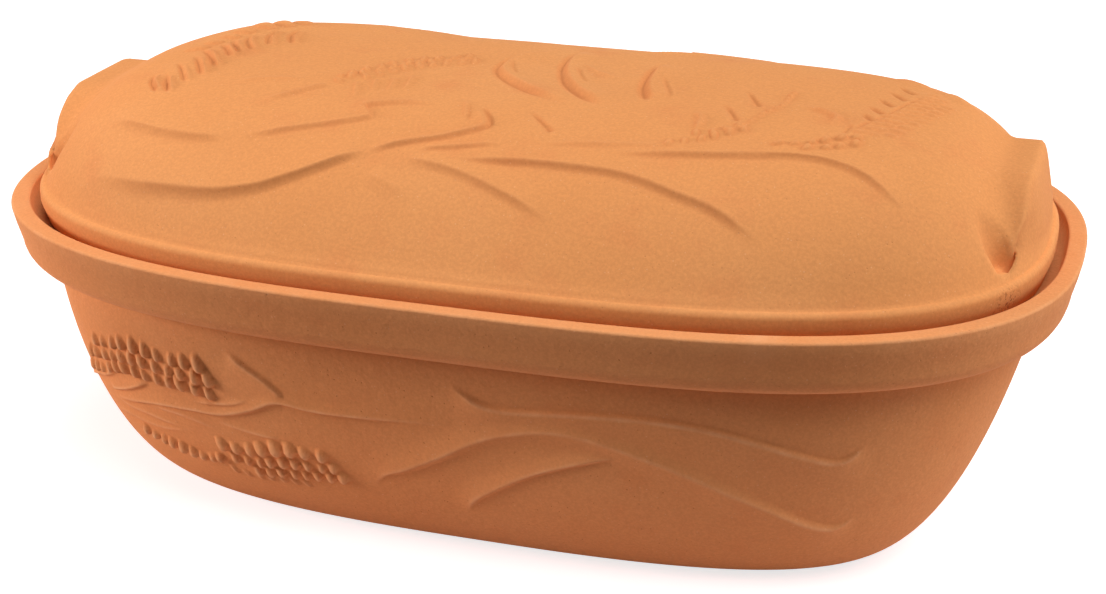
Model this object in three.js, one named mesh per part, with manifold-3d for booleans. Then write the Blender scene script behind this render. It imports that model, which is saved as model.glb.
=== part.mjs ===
import Module from 'manifold-3d';
import * as THREE from 'three';
import { mergeVertices } from 'three/addons/utils/BufferGeometryUtils.js';

// A clay baker of two fired pieces: a deep oval dish, and a domed lid that stands inside the dish's rim.
// Millimetres, +Z up, X along the length. The origin is on the table, under the middle of the dish.

// Dish: rim and collar
const RIM_LENGTH = 398;
const RIM_WIDTH = 240;
const DISH_HEIGHT = 110;
const RIM_LAND = 6.5; // width of the rim's flat top, with its rounded edges
const RIM_ROUND = 1;
const COLLAR_HEIGHT = 21.7;
const COLLAR_DRAFT = 2.8; // how far the collar's face leans in
const COLLAR_ROUND = 8.5; // radius of the collar's lower edge
const COLLAR_OVERHANG = 13.5; // from the rim in to the wall below the collar

// Dish: foot and wall
const FOOT_LENGTH = 265;
const FOOT_WIDTH = 133.5;
const FOOT_END_SWEEP = 26; // run of the wall along the table before it turns up
const FOOT_SIDE_SWEEP = 16.5;
const FOOT_BAND = 14; // width of the ring that the dish stands on
const FOOT_RECESS = 1.5;
const END_LEAN = 10.3; // pull of the end walls towards the middle, below the collar
const WALL = 8.5;
const FLOOR = 9;

// Fit of the lid in the dish
const SEAT_DEPTH = 7; // the ledge's depth below the rim
const UPSTAND_DRAFT = 2; // taper of the rim's inner face, and of the lid's flange beside it
const LID_CLEARANCE = 3.5;
const SEAT_GAP = 0.3;

// Lid: flange and dome
const LID_WALL = 7;
const SHOULDER_HEIGHT = 5.3; // the shoulder line's height above the rim
const SHOULDER_LAND = 3; // from the flange's face to the foot of the dome
const SHOULDER_ROUND = 1;
const SHOULDER_FILLET = 4;
const DOME_RISE = 42.1;
const DOME_END_FULLNESS = 10; // a higher value keeps the dome level for longer
const DOME_SIDE_FULLNESS = 3.3;

// Lid: the grip at each end
const GRIP_HEIGHT = 27.2; // the shelf's height above the shoulder
const GRIP_SETBACK = 7.5; // from the flange's end to the lip
const GRIP_WIDTH = 54;
const GRIP_BOW_RADIUS = 500; // curve of the lip in plan
const GRIP_SIDE_SLOPE = 1.4; // fall over run
const GRIP_SIDE_ROUND = 12;
const GRIP_END_SLOPE = 5;
const GRIP_END_ROUND = 10;
const GRIP_FILLET = 4; // where the grip grows out of the dome
const POCKET_SETBACK = 10; // finger pockets beside the grips, from the flange's end to their middle
const POCKET_SPACING = 94;
const POCKET_RADIUS = 5.5;
const POCKET_SLOPE = 2.5;
const POCKET_RIDGE = 3.5; // height of a pocket's floor above the shoulder
const POCKET_ROUND = 3;

// Wheat relief: leaves, stems and ears are low ridges. Each runs through its points and falls away over a
// width to its left and one to its right, seen along its run.
const RIDGE_ROOT = 1; // how deep a ridge is set into the clay
const RIDGE_FADE = 0.25; // share of a ridge's length in which it rises from the clay, at each end

// Points on the lid are shares of the dome's half length and half width.
const LID_LEAVES = [
  { points: [[-0.8, -0.72], [-0.63, -0.81], [-0.42, -0.83], [-0.2, -0.68]], height: 2.4, left: 12, right: 5 },
  { points: [[-0.81, -0.54], [-0.67, -0.63], [-0.51, -0.69]], height: 1.8, left: 9, right: 5 },
  { points: [[-0.47, -0.67], [-0.33, -0.6], [-0.23, -0.54]], height: 1.8, left: 7, right: 4 },
  { points: [[-0.09, -0.69], [0.11, -0.66], [0.3, -0.69], [0.54, -0.83]], height: 2.2, left: 8, right: 4 },
  { points: [[-0.16, -0.71], [0.03, -0.76], [0.19, -0.86]], height: 1.7, left: 7, right: 4 },
  { points: [[0.19, -0.6], [0.38, -0.56], [0.62, -0.5], [0.78, -0.61]], height: 2, left: 7, right: 4 },
];
const LID_STEMS = [
  { points: [[-0.21, -0.7], [-0.07, -0.6], [0, -0.53], [-0.06, -0.38]], height: 1.7, left: 4, right: 3 },
  { points: [[-0.07, 0.08], [-0.04, -0.08], [0.11, -0.31]], height: 1.6, left: 4, right: 5 },
  { points: [[0.05, 0.32], [0.06, 0.06], [0.18, -0.29]], height: 1.9, left: 4, right: 5 },
  { points: [[0.22, 0.22], [0.24, 0], [0.28, -0.24]], height: 2, left: 4, right: 5 },
];
const LID_EARS = [
  { points: [[-0.74, -0.42], [-0.66, -0.07], [-0.58, 0.34]], height: 1.5, left: 11, right: 11 },
  { points: [[-0.37, -0.34], [-0.28, -0.11], [-0.13, 0.08]], height: 1.2, left: 9, right: 9 },
  { points: [[0.62, -0.34], [0.7, -0.07], [0.75, 0.26]], height: 1.4, left: 9, right: 9 },
  { points: [[-0.78, 0.11], [-0.65, 0.36], [-0.46, 0.49], [-0.24, 0.5]], height: 2.2, left: 20, right: 22 },
];

// Points on the dish are degrees round from the middle of a long side, and shares of the way up the wall.
const DISH_LEAVES = [
  { points: [[1, 0.93], [6, 0.875], [20, 0.89], [30, 0.86], [43, 0.79]], height: 1.7, left: 3, right: 12 },
  { points: [[-11, 0.5], [-1, 0.69], [12, 0.82], [26, 0.74], [45, 0.55]], height: 1.8, left: 5, right: 6 },
  { points: [[1, 0.44], [6, 0.6], [13, 0.71], [21, 0.77]], height: 1.5, left: 7, right: 3 },
  { points: [[-48, 0.65], [-25, 0.72], [-20, 0.775], [1, 0.79]], height: 1.4, left: 6, right: 3 },
];
const DISH_EARS = [
  { points: [[-54, 0.735], [-40, 0.81], [-27, 0.82]], height: 1.6, left: 10, right: 10 },
  { points: [[-30, 0.54], [-22, 0.56], [-14, 0.58]], height: 1.5, left: 9, right: 9 },
];

// Powers of the oval |x/a|^end + |y/b|^side = 1 at three levels
const RIM_OVAL = { end: 3.16, side: 2.53 };
const FOOT_OVAL = { end: 2.7, side: 4 };
const CROWN_OVAL = { end: 5, side: 2.6 };

// Facets
const SIDES = 72;
const END_CROWDING = 0.25; // draws the facets together at the two ends
const EDGE_STEPS = 3;
const WALL_STEPS = 9;
const DOME_STEPS = 22;
const CAVITY_STEPS = 8;
const CROWN_CROWDING = 1.6;
const OVAL_ITERATIONS = 12;
const DOME_HALVINGS = 24;
const RIDGE_STEPS = 8;
const RIDGE_SIDES = 4; // two flanks above the clay and two faces of the root
const SLOPE_STEP = 0.001; // step in a ridge's points from which slopes are found

const RIGHT_ANGLE = Math.PI / 2;
const rimHalf = { length: RIM_LENGTH / 2, width: RIM_WIDTH / 2 };
const collarLow = DISH_HEIGHT - COLLAR_HEIGHT;
const seatLevel = DISH_HEIGHT - SEAT_DEPTH;
const shoulderLevel = DISH_HEIGHT + SHOULDER_HEIGHT;
const flangeInset = RIM_LAND + LID_CLEARANCE;
const lidFootInset = flangeInset + UPSTAND_DRAFT;

const wasm = await Module();
wasm.setup();

const blend = (from, to, share) => from + (to - from) * share;
const blendOval = (from, to, share) => ({
  end: blend(from.end, to.end, share),
  side: blend(from.side, to.side, share),
});
const steps = (count) => Array.from({ length: count + 1 }, (_, step) => step / count);

// One level of a turned piece: an oval of two half sizes, and the height of each of its points.
function section(length, width, oval, height) {
  return { length, width, oval, height };
}

const onAxis = (level) => section(0, 0, RIM_OVAL, () => level);
const insetFromRim = (inset, level) =>
  section(rimHalf.length - inset, rimHalf.width - inset, RIM_OVAL, () => level);

// A rounded edge of the rim's oval. An angle of 0 points outwards, and a right angle points up.
function roundedEdge(inset, level, radius, from, to) {
  return steps(EDGE_STEPS).map((share) => {
    const angle = blend(from, to, share);
    return insetFromRim(inset - radius * Math.cos(angle), level + radius * Math.sin(angle));
  });
}

// The point of a section's oval that lies in the direction of a turn about the axis.
function ovalPoint({ length, width, oval }, turn) {
  const along = Math.abs(Math.cos(turn));
  const across = Math.abs(Math.sin(turn));
  let reach = 1;
  for (let i = 0; i < OVAL_ITERATIONS; i += 1) {
    const endTerm = (along * reach) ** oval.end;
    const sideTerm = (across * reach) ** oval.side;
    reach -= (reach * (endTerm + sideTerm - 1)) / (oval.end * endTerm + oval.side * sideTerm);
  }
  return { x: length * reach * Math.cos(turn), y: width * reach * Math.sin(turn) };
}

// A lathe with one ring for each section, whose rings are then drawn out to their sections' ovals.
function turnedSolid(sections) {
  const profile = sections.map((_, ring) => new THREE.Vector2(1, ring));
  const geometry = new THREE.LatheGeometry(profile, SIDES);
  const position = geometry.attributes.position;
  for (let i = 0; i < position.count; i += 1) {
    const level = sections[Math.round(position.getY(i))];
    const lathe = Math.atan2(position.getX(i), position.getZ(i));
    const { x, y } = ovalPoint(level, lathe - END_CROWDING * Math.sin(2 * lathe));
    position.setXYZ(i, x, y, level.height(x, y));
  }
  geometry.computeVertexNormals();
  return geometry;
}

// The wall between foot and collar follows two guide curves, one for the ends and one for the sides.
function wallGuides() {
  const guide = (foot, sweep, top, lean) =>
    new THREE.CubicBezierCurve(
      new THREE.Vector2(foot, 0),
      new THREE.Vector2(foot + sweep, 0),
      new THREE.Vector2(top - lean, collarLow / 2),
      new THREE.Vector2(top, collarLow),
    );
  return {
    end: guide(FOOT_LENGTH / 2, FOOT_END_SWEEP, rimHalf.length - COLLAR_OVERHANG, END_LEAN),
    side: guide(FOOT_WIDTH / 2, FOOT_SIDE_SWEEP, rimHalf.width - COLLAR_OVERHANG, 0),
  };
}

function wallSection(guides, share, thickness, floor) {
  const end = guides.end.getPoint(share);
  const side = guides.side.getPoint(share);
  const level = floor + end.y * (1 - floor / collarLow);
  return section(end.x - thickness, side.x - thickness, blendOval(FOOT_OVAL, RIM_OVAL, share), () => level);
}

function dishGeometry() {
  const guides = wallGuides();
  const footSection = (inset, level) =>
    section(FOOT_LENGTH / 2 - inset, FOOT_WIDTH / 2 - inset, FOOT_OVAL, () => level);
  const rimRound = Math.min(RIM_ROUND, RIM_LAND / 2);
  const collarRound = Math.min(COLLAR_ROUND, COLLAR_OVERHANG - COLLAR_DRAFT, COLLAR_HEIGHT / 2);
  const rimRoundLevel = DISH_HEIGHT - rimRound;
  const foot = [
    onAxis(FOOT_RECESS),
    footSection(FOOT_BAND + FOOT_RECESS, FOOT_RECESS),
    footSection(FOOT_BAND, 0),
  ];
  const wall = steps(WALL_STEPS).map((share) => wallSection(guides, share, 0, 0));
  const collarRoundLevel = collarLow + collarRound;
  const collar = roundedEdge(COLLAR_DRAFT + collarRound, collarRoundLevel, collarRound, -RIGHT_ANGLE, 0);
  const rim = [
    ...roundedEdge(rimRound, rimRoundLevel, rimRound, 0, RIGHT_ANGLE),
    ...roundedEdge(RIM_LAND - rimRound, rimRoundLevel, rimRound, RIGHT_ANGLE, 2 * RIGHT_ANGLE),
  ];
  const ledge = [
    insetFromRim(RIM_LAND + UPSTAND_DRAFT, seatLevel),
    insetFromRim(lidFootInset + LID_WALL, seatLevel),
  ];
  const cavity = steps(CAVITY_STEPS).reverse().map((share) => wallSection(guides, share, WALL, FLOOR));
  return turnedSolid([...foot, ...wall, ...collar, ...rim, ...ledge, ...cavity, onAxis(FLOOR)]);
}

// The greater of two heights, with a fillet where they meet.
function filletedMax(a, b, size) {
  const overlap = Math.max(size - Math.abs(a - b), 0);
  return Math.max(a, b) + overlap ** 2 / (4 * size);
}

const filletedMin = (a, b, size) => -filletedMax(-a, -b, size);

// Upper surface of the two grips: a level shelf that falls away at its sides and steeply beyond its lip.
function gripHeight(x, y) {
  const lip = rimHalf.length - flangeInset - GRIP_SETBACK - y ** 2 / (2 * GRIP_BOW_RADIUS);
  const beyondLip = Math.abs(x) - lip;
  const beyondSide = Math.abs(y) - GRIP_WIDTH / 2;
  const endFall = filletedMax(0, beyondLip * GRIP_END_SLOPE, GRIP_END_ROUND);
  const sideFall = filletedMax(0, beyondSide * GRIP_SIDE_SLOPE, GRIP_SIDE_ROUND);
  return shoulderLevel + GRIP_HEIGHT - endFall - sideFall;
}

// Surface of the four finger pockets, one on each side of each grip.
function pocketHeight(x, y) {
  const middle = rimHalf.length - flangeInset - POCKET_SETBACK;
  const reach = Math.hypot(Math.abs(x) - middle, Math.abs(y) - POCKET_SPACING / 2);
  return shoulderLevel + POCKET_RIDGE + POCKET_SLOPE * Math.max(reach - POCKET_RADIUS, 0);
}

// The lid's top at a point where the plain dome has the given level.
function lidTop(level, x, y) {
  const overShoulder = filletedMax(level, shoulderLevel, SHOULDER_FILLET);
  const withGrip = filletedMax(overShoulder, gripHeight(x, y), GRIP_FILLET);
  return filletedMin(withGrip, pocketHeight(x, y), POCKET_ROUND);
}

const domeLevel = (drop) => shoulderLevel + DOME_RISE * (1 - drop);

// A level of the dome, inside or outside of the clay: drop is the share of the rise that lies above it.
function domeSection(drop, depth, height = () => domeLevel(drop)) {
  const inset = flangeInset + SHOULDER_LAND + depth;
  return section(
    (rimHalf.length - inset) * drop ** (1 / DOME_END_FULLNESS),
    (rimHalf.width - inset) * drop ** (1 / DOME_SIDE_FULLNESS),
    blendOval(CROWN_OVAL, RIM_OVAL, drop),
    height,
  );
}

function lidGeometry() {
  const drops = (count) => steps(count).map((share) => share ** CROWN_CROWDING);
  const shoulderRound = Math.min(SHOULDER_ROUND, SHOULDER_LAND, SHOULDER_HEIGHT);
  const roundLevel = shoulderLevel - shoulderRound;
  const footLevel = seatLevel + SEAT_GAP;
  const hollow = drops(CAVITY_STEPS).map((drop) =>
    domeSection(drop, LID_WALL, () => domeLevel(drop) - LID_WALL),
  );
  const flange = [
    insetFromRim(lidFootInset + LID_WALL, footLevel),
    insetFromRim(lidFootInset, footLevel),
    insetFromRim(flangeInset, DISH_HEIGHT),
    ...roundedEdge(flangeInset + shoulderRound, roundLevel, shoulderRound, 0, RIGHT_ANGLE),
  ];
  const dome = drops(DOME_STEPS)
    .reverse()
    .map((drop) => domeSection(drop, 0, (x, y) => lidTop(domeLevel(drop), x, y)));
  return turnedSolid([...hollow, ...flange, ...dome]);
}

// A point of the lid's top, from shares of the dome's half length and half width.
function lidPoint(alongShare, acrossShare) {
  const foot = domeSection(1, 0);
  const x = alongShare * foot.length;
  const y = acrossShare * foot.width;
  let above = 0;
  let below = 1;
  for (let i = 0; i < DOME_HALVINGS; i += 1) {
    const drop = (above + below) / 2;
    const { length, width, oval } = domeSection(drop, 0);
    const outside = Math.abs(x / length) ** oval.end + Math.abs(y / width) ** oval.side > 1;
    above = outside ? drop : above;
    below = outside ? below : drop;
  }
  return new THREE.Vector3(x, y, lidTop(domeLevel(below), x, y));
}

// A point of the dish's wall, from degrees round from the middle of a long side and a share of the way up.
function wallPoint(degrees, share) {
  const level = wallSection(wallGuides(), share, 0, 0);
  const { x, y } = ovalPoint(level, THREE.MathUtils.degToRad(degrees) - RIGHT_ANGLE);
  return new THREE.Vector3(x, y, level.height(x, y));
}

// A leaf, stem or ear: a cylinder bent along its points on a surface, whose four edges become the crest, the
// feet of the two flanks, and a keel inside the clay.
function ridgeGeometry(surface, { points, height, left, right }) {
  const run = new THREE.SplineCurve(points.map(([u, v]) => new THREE.Vector2(u, v)));
  const geometry = new THREE.CylinderGeometry(1, 1, 1, RIDGE_SIDES, RIDGE_STEPS);
  geometry.deleteAttribute('normal');
  geometry.deleteAttribute('uv');
  const position = geometry.attributes.position;
  for (let i = 0; i < position.count; i += 1) {
    const share = position.getY(i) + 0.5;
    const across = position.getX(i) * (position.getX(i) > 0 ? right : left);
    const upright = position.getZ(i);
    const { x: u, y: v } = run.getPoint(share);
    const way = run.getTangent(share);
    const middle = surface(u, v);
    const slopeU = surface(u + SLOPE_STEP, v).sub(middle).divideScalar(SLOPE_STEP);
    const slopeV = surface(u, v + SLOPE_STEP).sub(middle).divideScalar(SLOPE_STEP);
    const sizeU = slopeU.length();
    const sizeV = slopeV.length();
    const reach = across / Math.hypot(way.x * sizeU, way.y * sizeV);
    const foot = surface(u + (reach * way.y * sizeV) / sizeU, v - (reach * way.x * sizeU) / sizeV);
    const fade = (end) => THREE.MathUtils.smoothstep(end, 0, RIDGE_FADE);
    const crest = blend(-RIDGE_ROOT / 2, height, fade(share) * fade(1 - share));
    const level = upright > 0 ? blend(-RIDGE_ROOT, crest, upright) : RIDGE_ROOT * (upright - 1);
    foot.addScaledVector(slopeU.cross(slopeV).normalize(), level);
    position.setXYZ(i, foot.x, foot.y, foot.z);
  }
  return geometry;
}

function solid(geometry) {
  const bare = new THREE.BufferGeometry();
  bare.setAttribute('position', geometry.attributes.position);
  bare.setIndex(geometry.index);
  const merged = mergeVertices(bare);
  const vertProperties = new Float32Array(merged.attributes.position.array);
  const triVerts = new Uint32Array(merged.index.array);
  return new wasm.Manifold(new wasm.Mesh({ numProp: 3, vertProperties, triVerts }));
}

// Joins ridges to a piece.
function withRelief(geometry, ridges) {
  const joined = ridges.map(solid).reduce((whole, ridge) => whole.add(ridge), solid(geometry));
  const { vertProperties, triVerts } = joined.getMesh();
  const result = new THREE.BufferGeometry();
  result.setAttribute('position', new THREE.BufferAttribute(vertProperties, 3));
  result.setIndex(new THREE.BufferAttribute(triVerts, 1));
  result.computeVertexNormals();
  return result;
}

// The second long side repeats the first by a half turn.
const onBothSides = (ridges) => [...ridges, ...ridges.map((ridge) => ridge.clone().rotateZ(Math.PI))];

function piece(name, geometry, color) {
  const clay = new THREE.MeshStandardMaterial({ color, roughness: 0.92, metalness: 0 });
  const mesh = new THREE.Mesh(geometry, clay);
  mesh.name = name;
  return mesh;
}

const ridgesOn = (surface, ridges) => ridges.map((ridge) => ridgeGeometry(surface, ridge));
const dishRidges = onBothSides(ridgesOn(wallPoint, [...DISH_LEAVES, ...DISH_EARS]));
const lidRidges = [
  ...onBothSides(ridgesOn(lidPoint, LID_LEAVES)),
  ...ridgesOn(lidPoint, [...LID_STEMS, ...LID_EARS]),
];

const clayBaker = new THREE.Group();
clayBaker.add(piece('baking_dish', withRelief(dishGeometry(), dishRidges), 0xc17648));
clayBaker.add(piece('lid', withRelief(lidGeometry(), lidRidges), 0xd98a55));

export default clayBaker;
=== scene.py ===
"""Looks of a clay baker: two fired clay pieces with a wheat relief, on a pale floor in soft light."""

import logging
import math
from dataclasses import dataclass, field, replace
from enum import Enum
from functools import reduce

import bmesh
import bpy
import numpy as np
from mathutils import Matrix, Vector


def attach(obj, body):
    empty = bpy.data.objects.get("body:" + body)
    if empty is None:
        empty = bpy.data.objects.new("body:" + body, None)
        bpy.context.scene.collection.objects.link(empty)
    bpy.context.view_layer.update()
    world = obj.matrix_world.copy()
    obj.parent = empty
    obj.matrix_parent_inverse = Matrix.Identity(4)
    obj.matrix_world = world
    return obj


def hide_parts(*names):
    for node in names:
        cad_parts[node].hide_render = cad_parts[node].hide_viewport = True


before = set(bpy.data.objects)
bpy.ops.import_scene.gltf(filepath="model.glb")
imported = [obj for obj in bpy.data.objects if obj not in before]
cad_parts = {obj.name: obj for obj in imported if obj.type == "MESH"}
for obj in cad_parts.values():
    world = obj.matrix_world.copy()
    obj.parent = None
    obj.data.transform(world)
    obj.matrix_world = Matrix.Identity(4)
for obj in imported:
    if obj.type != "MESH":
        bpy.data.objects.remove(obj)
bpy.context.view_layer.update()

LOG = logging.getLogger("clay_baker")
MM = 0.001

Point = tuple[float, float]
Line = tuple[Point, ...]
Span = tuple[float, float]
Place = tuple[float, float, float]
Rgb = tuple[float, float, float]
Rgba = tuple[float, float, float, float]
ScreenRgb = tuple[int, int, int]

WHITE: Rgba = (1.0, 1.0, 1.0, 1.0)

OVAL_ROUNDS = 14
DOME_HALVINGS = 40
LEAST_DROP = 1e-9
GUIDE_SAMPLES = 600
LEVEL_SAMPLES = 2000
RIM_SAMPLES = 8001


def smooth_step(share: np.ndarray) -> np.ndarray:
    """Eases a share from 0 to 1, level at both ends.

    Args:
        share: Values of any size; they are held between 0 and 1.

    Returns:
        The eased values.
    """
    held = np.clip(share, 0.0, 1.0)
    return held * held * (3.0 - 2.0 * held)


def filleted_max(a: np.ndarray, b: np.ndarray, size: float | np.ndarray) -> np.ndarray:
    """Takes the greater of two heights, with a fillet where they meet.

    Args:
        a: First heights.
        b: Second heights.
        size: How far apart the heights are where the fillet begins.

    Returns:
        The joined heights.
    """
    overlap = np.maximum(size - np.abs(a - b), 0.0)
    return np.maximum(a, b) + overlap**2 / (4.0 * size)


def filleted_min(a: np.ndarray, b: np.ndarray, size: float) -> np.ndarray:
    """Takes the lesser of two heights, with a fillet; see filleted_max."""
    return -filleted_max(-a, -b, size)


def between(span: Span, share: np.ndarray) -> np.ndarray:
    """Gives the values that lie at shares of the way from a span's first value to its last."""
    return span[0] + (span[1] - span[0]) * share


def run_along(line: np.ndarray) -> np.ndarray:
    """Measures how far along a drawn line each of its points lies."""
    return np.concatenate([[0.0], np.cumsum(np.linalg.norm(np.diff(line, axis=0), axis=1))])


@dataclass(frozen=True)
class Oval:
    """Powers of the oval |x/a|^end + |y/b|^side = 1."""

    end: float
    side: float

    def reach(self, turn: np.ndarray) -> np.ndarray:
        """Finds how far the oval of half sizes 1 lies from its middle.

        Args:
            turn: Directions about the middle, in radians.

        Returns:
            The distance in each direction.
        """
        along = np.abs(np.cos(turn))
        across = np.abs(np.sin(turn))
        reach = np.ones_like(turn)
        for _ in range(OVAL_ROUNDS):
            end = (along * reach) ** self.end
            side = (across * reach) ** self.side
            reach = reach - reach * (end + side - 1.0) / (self.end * end + self.side * side)
        return reach

    def towards(self, other: "Oval", share: float | np.ndarray) -> "Oval":
        """Blends this oval's powers into another's by a share, or by one share for each point."""
        return Oval(between((self.end, other.end), share), between((self.side, other.side), share))


RIM_OVAL = Oval(3.16, 2.53)
FOOT_OVAL = Oval(2.7, 4.0)
CROWN_OVAL = Oval(5.0, 2.6)


@dataclass(frozen=True)
class Section:
    """One level of a piece: an oval of two half sizes, in millimetres."""

    length: float
    width: float
    level: float
    oval: Oval = RIM_OVAL

    def points(self, turn: np.ndarray) -> np.ndarray:
        """Places the oval's points.

        Args:
            turn: Directions about the axis, in radians.

        Returns:
            One row of x, y and z in millimetres for each direction.
        """
        reach = self.oval.reach(turn)
        x = self.length * reach * np.cos(turn)
        y = self.width * reach * np.sin(turn)
        return np.stack([x, y, np.full_like(turn, self.level)], axis=-1)


@dataclass(frozen=True)
class Rim:
    """Sizes that the dish and the lid share, in millimetres."""

    length: float = 398.0
    width: float = 240.0
    height: float = 110.0
    land: float = 6.5
    clearance: float = 3.5
    draft: float = 2.0
    seat_depth: float = 7.0
    seat_gap: float = 0.3

    @property
    def flange_inset(self) -> float:
        """Distance from the rim's edge in to the lid's flange."""
        return self.land + self.clearance

    @property
    def lid_foot_inset(self) -> float:
        """Distance from the rim's edge in to the foot of the flange."""
        return self.flange_inset + self.draft

    @property
    def seat_level(self) -> float:
        """Height of the ledge that carries the lid."""
        return self.height - self.seat_depth

    def inset(self, distance: float, level: float) -> Section:
        """Makes the section that lies a distance inside the rim's edge."""
        return Section(self.length / 2 - distance, self.width / 2 - distance, level)

    def rounded(self, inset: float, level: float, radius: float, span: Span, steps: int) -> list[Section]:
        """Makes the sections of a rounded edge.

        Args:
            inset: Distance of the arc's middle from the rim's edge.
            level: Height of the arc's middle.
            radius: Radius of the arc.
            span: First and last angle in degrees; 0 points outwards and 90 up.
            steps: Number of facets.

        Returns:
            The sections along the arc.
        """
        angles = np.radians(np.linspace(span[0], span[1], steps + 1))
        return [
            self.inset(inset - radius * math.cos(angle), level + radius * math.sin(angle))
            for angle in angles
        ]


RIM = Rim()


class Loft:
    """Grows a skin ring by ring: each ring is extruded from the last one and drawn out to its section."""

    def __init__(self, mesh: bmesh.types.BMesh, edges: list[bmesh.types.BMEdge]) -> None:
        """Starts from a closed loop of edges round the Z axis.

        Args:
            mesh: The mesh that grows.
            edges: The edges of the first ring.
        """
        self.mesh = mesh
        self.edges = edges
        self.spoke = mesh.verts.layers.int.get("spoke") or mesh.verts.layers.int.new("spoke")
        verts = sorted(
            {vert for edge in edges for vert in edge.verts},
            key=lambda vert: math.atan2(vert.co.y, vert.co.x),
        )
        self.turn = np.array([math.atan2(vert.co.y, vert.co.x) for vert in verts])
        for number, vert in enumerate(verts):
            vert[self.spoke] = number
        self.verts = verts

    @classmethod
    def circle(cls, mesh: bmesh.types.BMesh, segments: int, crowding: float = 0.0) -> "Loft":
        """Starts from a new circle.

        Args:
            mesh: The mesh that grows.
            segments: Number of the circle's edges.
            crowding: How strongly the spokes draw together at the two ends.

        Returns:
            The loft, whose first ring still has to be placed.
        """
        made = bmesh.ops.create_circle(mesh, segments=segments, radius=1.0)["verts"]
        edges = list({edge for vert in made for edge in vert.link_edges})
        loft = cls(mesh, edges)
        loft.turn = loft.turn - crowding * np.sin(2.0 * loft.turn)
        return loft

    def place(self, section: Section) -> "Loft":
        """Draws the last ring out to a section."""
        points = section.points(self.turn) * MM
        for vert in self.verts:
            vert.co = points[vert[self.spoke]]
        return self

    def grow(self, sections: list[Section]) -> "Loft":
        """Adds one ring for each section.

        Args:
            sections: The sections in order.

        Returns:
            This loft.
        """
        for section in sections:
            made = bmesh.ops.extrude_edge_only(self.mesh, edges=self.edges)["geom"]
            self.verts = [item for item in made if isinstance(item, bmesh.types.BMVert)]
            fresh = set(self.verts)
            self.edges = [
                item
                for item in made
                if isinstance(item, bmesh.types.BMEdge) and fresh.issuperset(item.verts)
            ]
            self.place(section)
        return self

    def join(self, other: "Loft") -> None:
        """Bridges this loft's last ring to another loft's."""
        bmesh.ops.bridge_loops(self.mesh, edges=self.edges + other.edges)

    def close(self, level: float) -> None:
        """Closes the last ring with a fan.

        Args:
            level: Height of the fan's middle, in millimetres.
        """
        cap = bmesh.ops.edgeloop_fill(self.mesh, edges=self.edges)["faces"]
        middle = bmesh.ops.poke(self.mesh, faces=cap)["verts"]
        for vert in middle:
            vert.co = (0.0, 0.0, level * MM)


def drawn_line(points: Line, spacing: float = 1.2) -> np.ndarray:
    """Draws a smooth line through a few points.

    Args:
        points: The points that the line passes through.
        spacing: About how far apart the drawn points are.

    Returns:
        One row of two coordinates for each drawn point.
    """
    knots = np.array(points, float)
    padded = np.vstack([2 * knots[0] - knots[1], knots, 2 * knots[-1] - knots[-2]])
    pieces = []
    for first, start, stop, last in zip(padded, padded[1:], padded[2:], padded[3:]):
        count = max(2, int(np.linalg.norm(stop - start) / spacing))
        t = np.arange(count)[:, None] / count
        bend = 2 * first - 5 * start + 4 * stop - last
        swing = 3 * start - first - 3 * stop + last
        pieces.append(start + 0.5 * ((stop - first) * t + bend * t**2 + swing * t**3))
    return np.vstack([*pieces, knots[-1:]])


NARROW_TO_WIDE: Span = (3.0, 9.0)
PINCH: Span = (1.8, 1.25)
REFINE_MARGINS: Span = (1.5, 0.3)
EAR_SPACING = 0.5
BLADE_VERGE: Span = (0.02, 0.05)
EAR_VERGE: Span = (0.01, 0.02)
BED_FADE: Span = (0.2, 0.1)
GRAIN_TIP = 0.35
GRAIN_TAPER = 0.35
BLEND_POWER = 3.0


@dataclass(frozen=True)
class Blade:
    """One edge of a leaf or stem: a raised line that falls away on each side of its direction."""

    points: Line
    height: float
    left: Span
    right: Span
    fade: Span = (0.25, 0.25)
    soft: bool = False

    def heights(self, flat: np.ndarray) -> np.ndarray:
        """Works out how high the blade stands. A negative height makes a crease.

        Args:
            flat: Points on the laid-out surface, in millimetres.

        Returns:
            The height at each point.
        """
        line = drawn_line(self.points)
        widest = max(self.left + self.right)
        near = np.all((flat > line.min(0) - widest) & (flat < line.max(0) + widest), axis=1)
        result = np.zeros(len(flat))
        if not near.any():
            return result
        spot = flat[near][:, None, :]
        start, step = line[:-1], np.diff(line, axis=0)
        length = np.linalg.norm(step, axis=1)
        share = np.clip(((spot - start) * step).sum(-1) / length**2, 0.0, 1.0)
        offset = spot - (start + share[..., None] * step)
        distance = np.linalg.norm(offset, axis=-1)
        best = distance.argmin(1)
        row = np.arange(len(best))
        run = run_along(line)
        travel = (run[best] + share[row, best] * length[best]) / run[-1]
        side = step[best, 0] * offset[row, best, 1] - step[best, 1] * offset[row, best, 0]
        width = np.where(side > 0, between(self.left, travel), between(self.right, travel))
        away = np.clip(distance[row, best] / width, 0.0, 1.0)
        pinch = np.interp(width, NARROW_TO_WIDE, PINCH)
        fall = 1.0 - smooth_step(away) if self.soft else (1.0 - away) ** pinch
        ends = smooth_step(travel / self.fade[0]) * smooth_step((1.0 - travel) / self.fade[1])
        result[near] = self.height * fall * ends
        return result

    def detail(self, flat: np.ndarray, margin: float) -> np.ndarray:
        """Tells which points lie on the blade's edge, where the mesh has to be fine.

        Args:
            flat: Points on the laid-out surface, in millimetres.
            margin: How far beyond the blade's narrow side the fine mesh reaches.

        Returns:
            True for each point that lies there.
        """
        if self.soft:
            return np.zeros(len(flat), bool)
        return on_belt(flat, self.points, min(self.left + self.right) + margin, BLADE_VERGE)


def even(points: Line, height: float, width: Span, fade: Span, soft: bool = False) -> Blade:
    """Makes a blade that falls away alike on both sides; see Blade."""
    return Blade(points, height, width, width, fade, soft)


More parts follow.
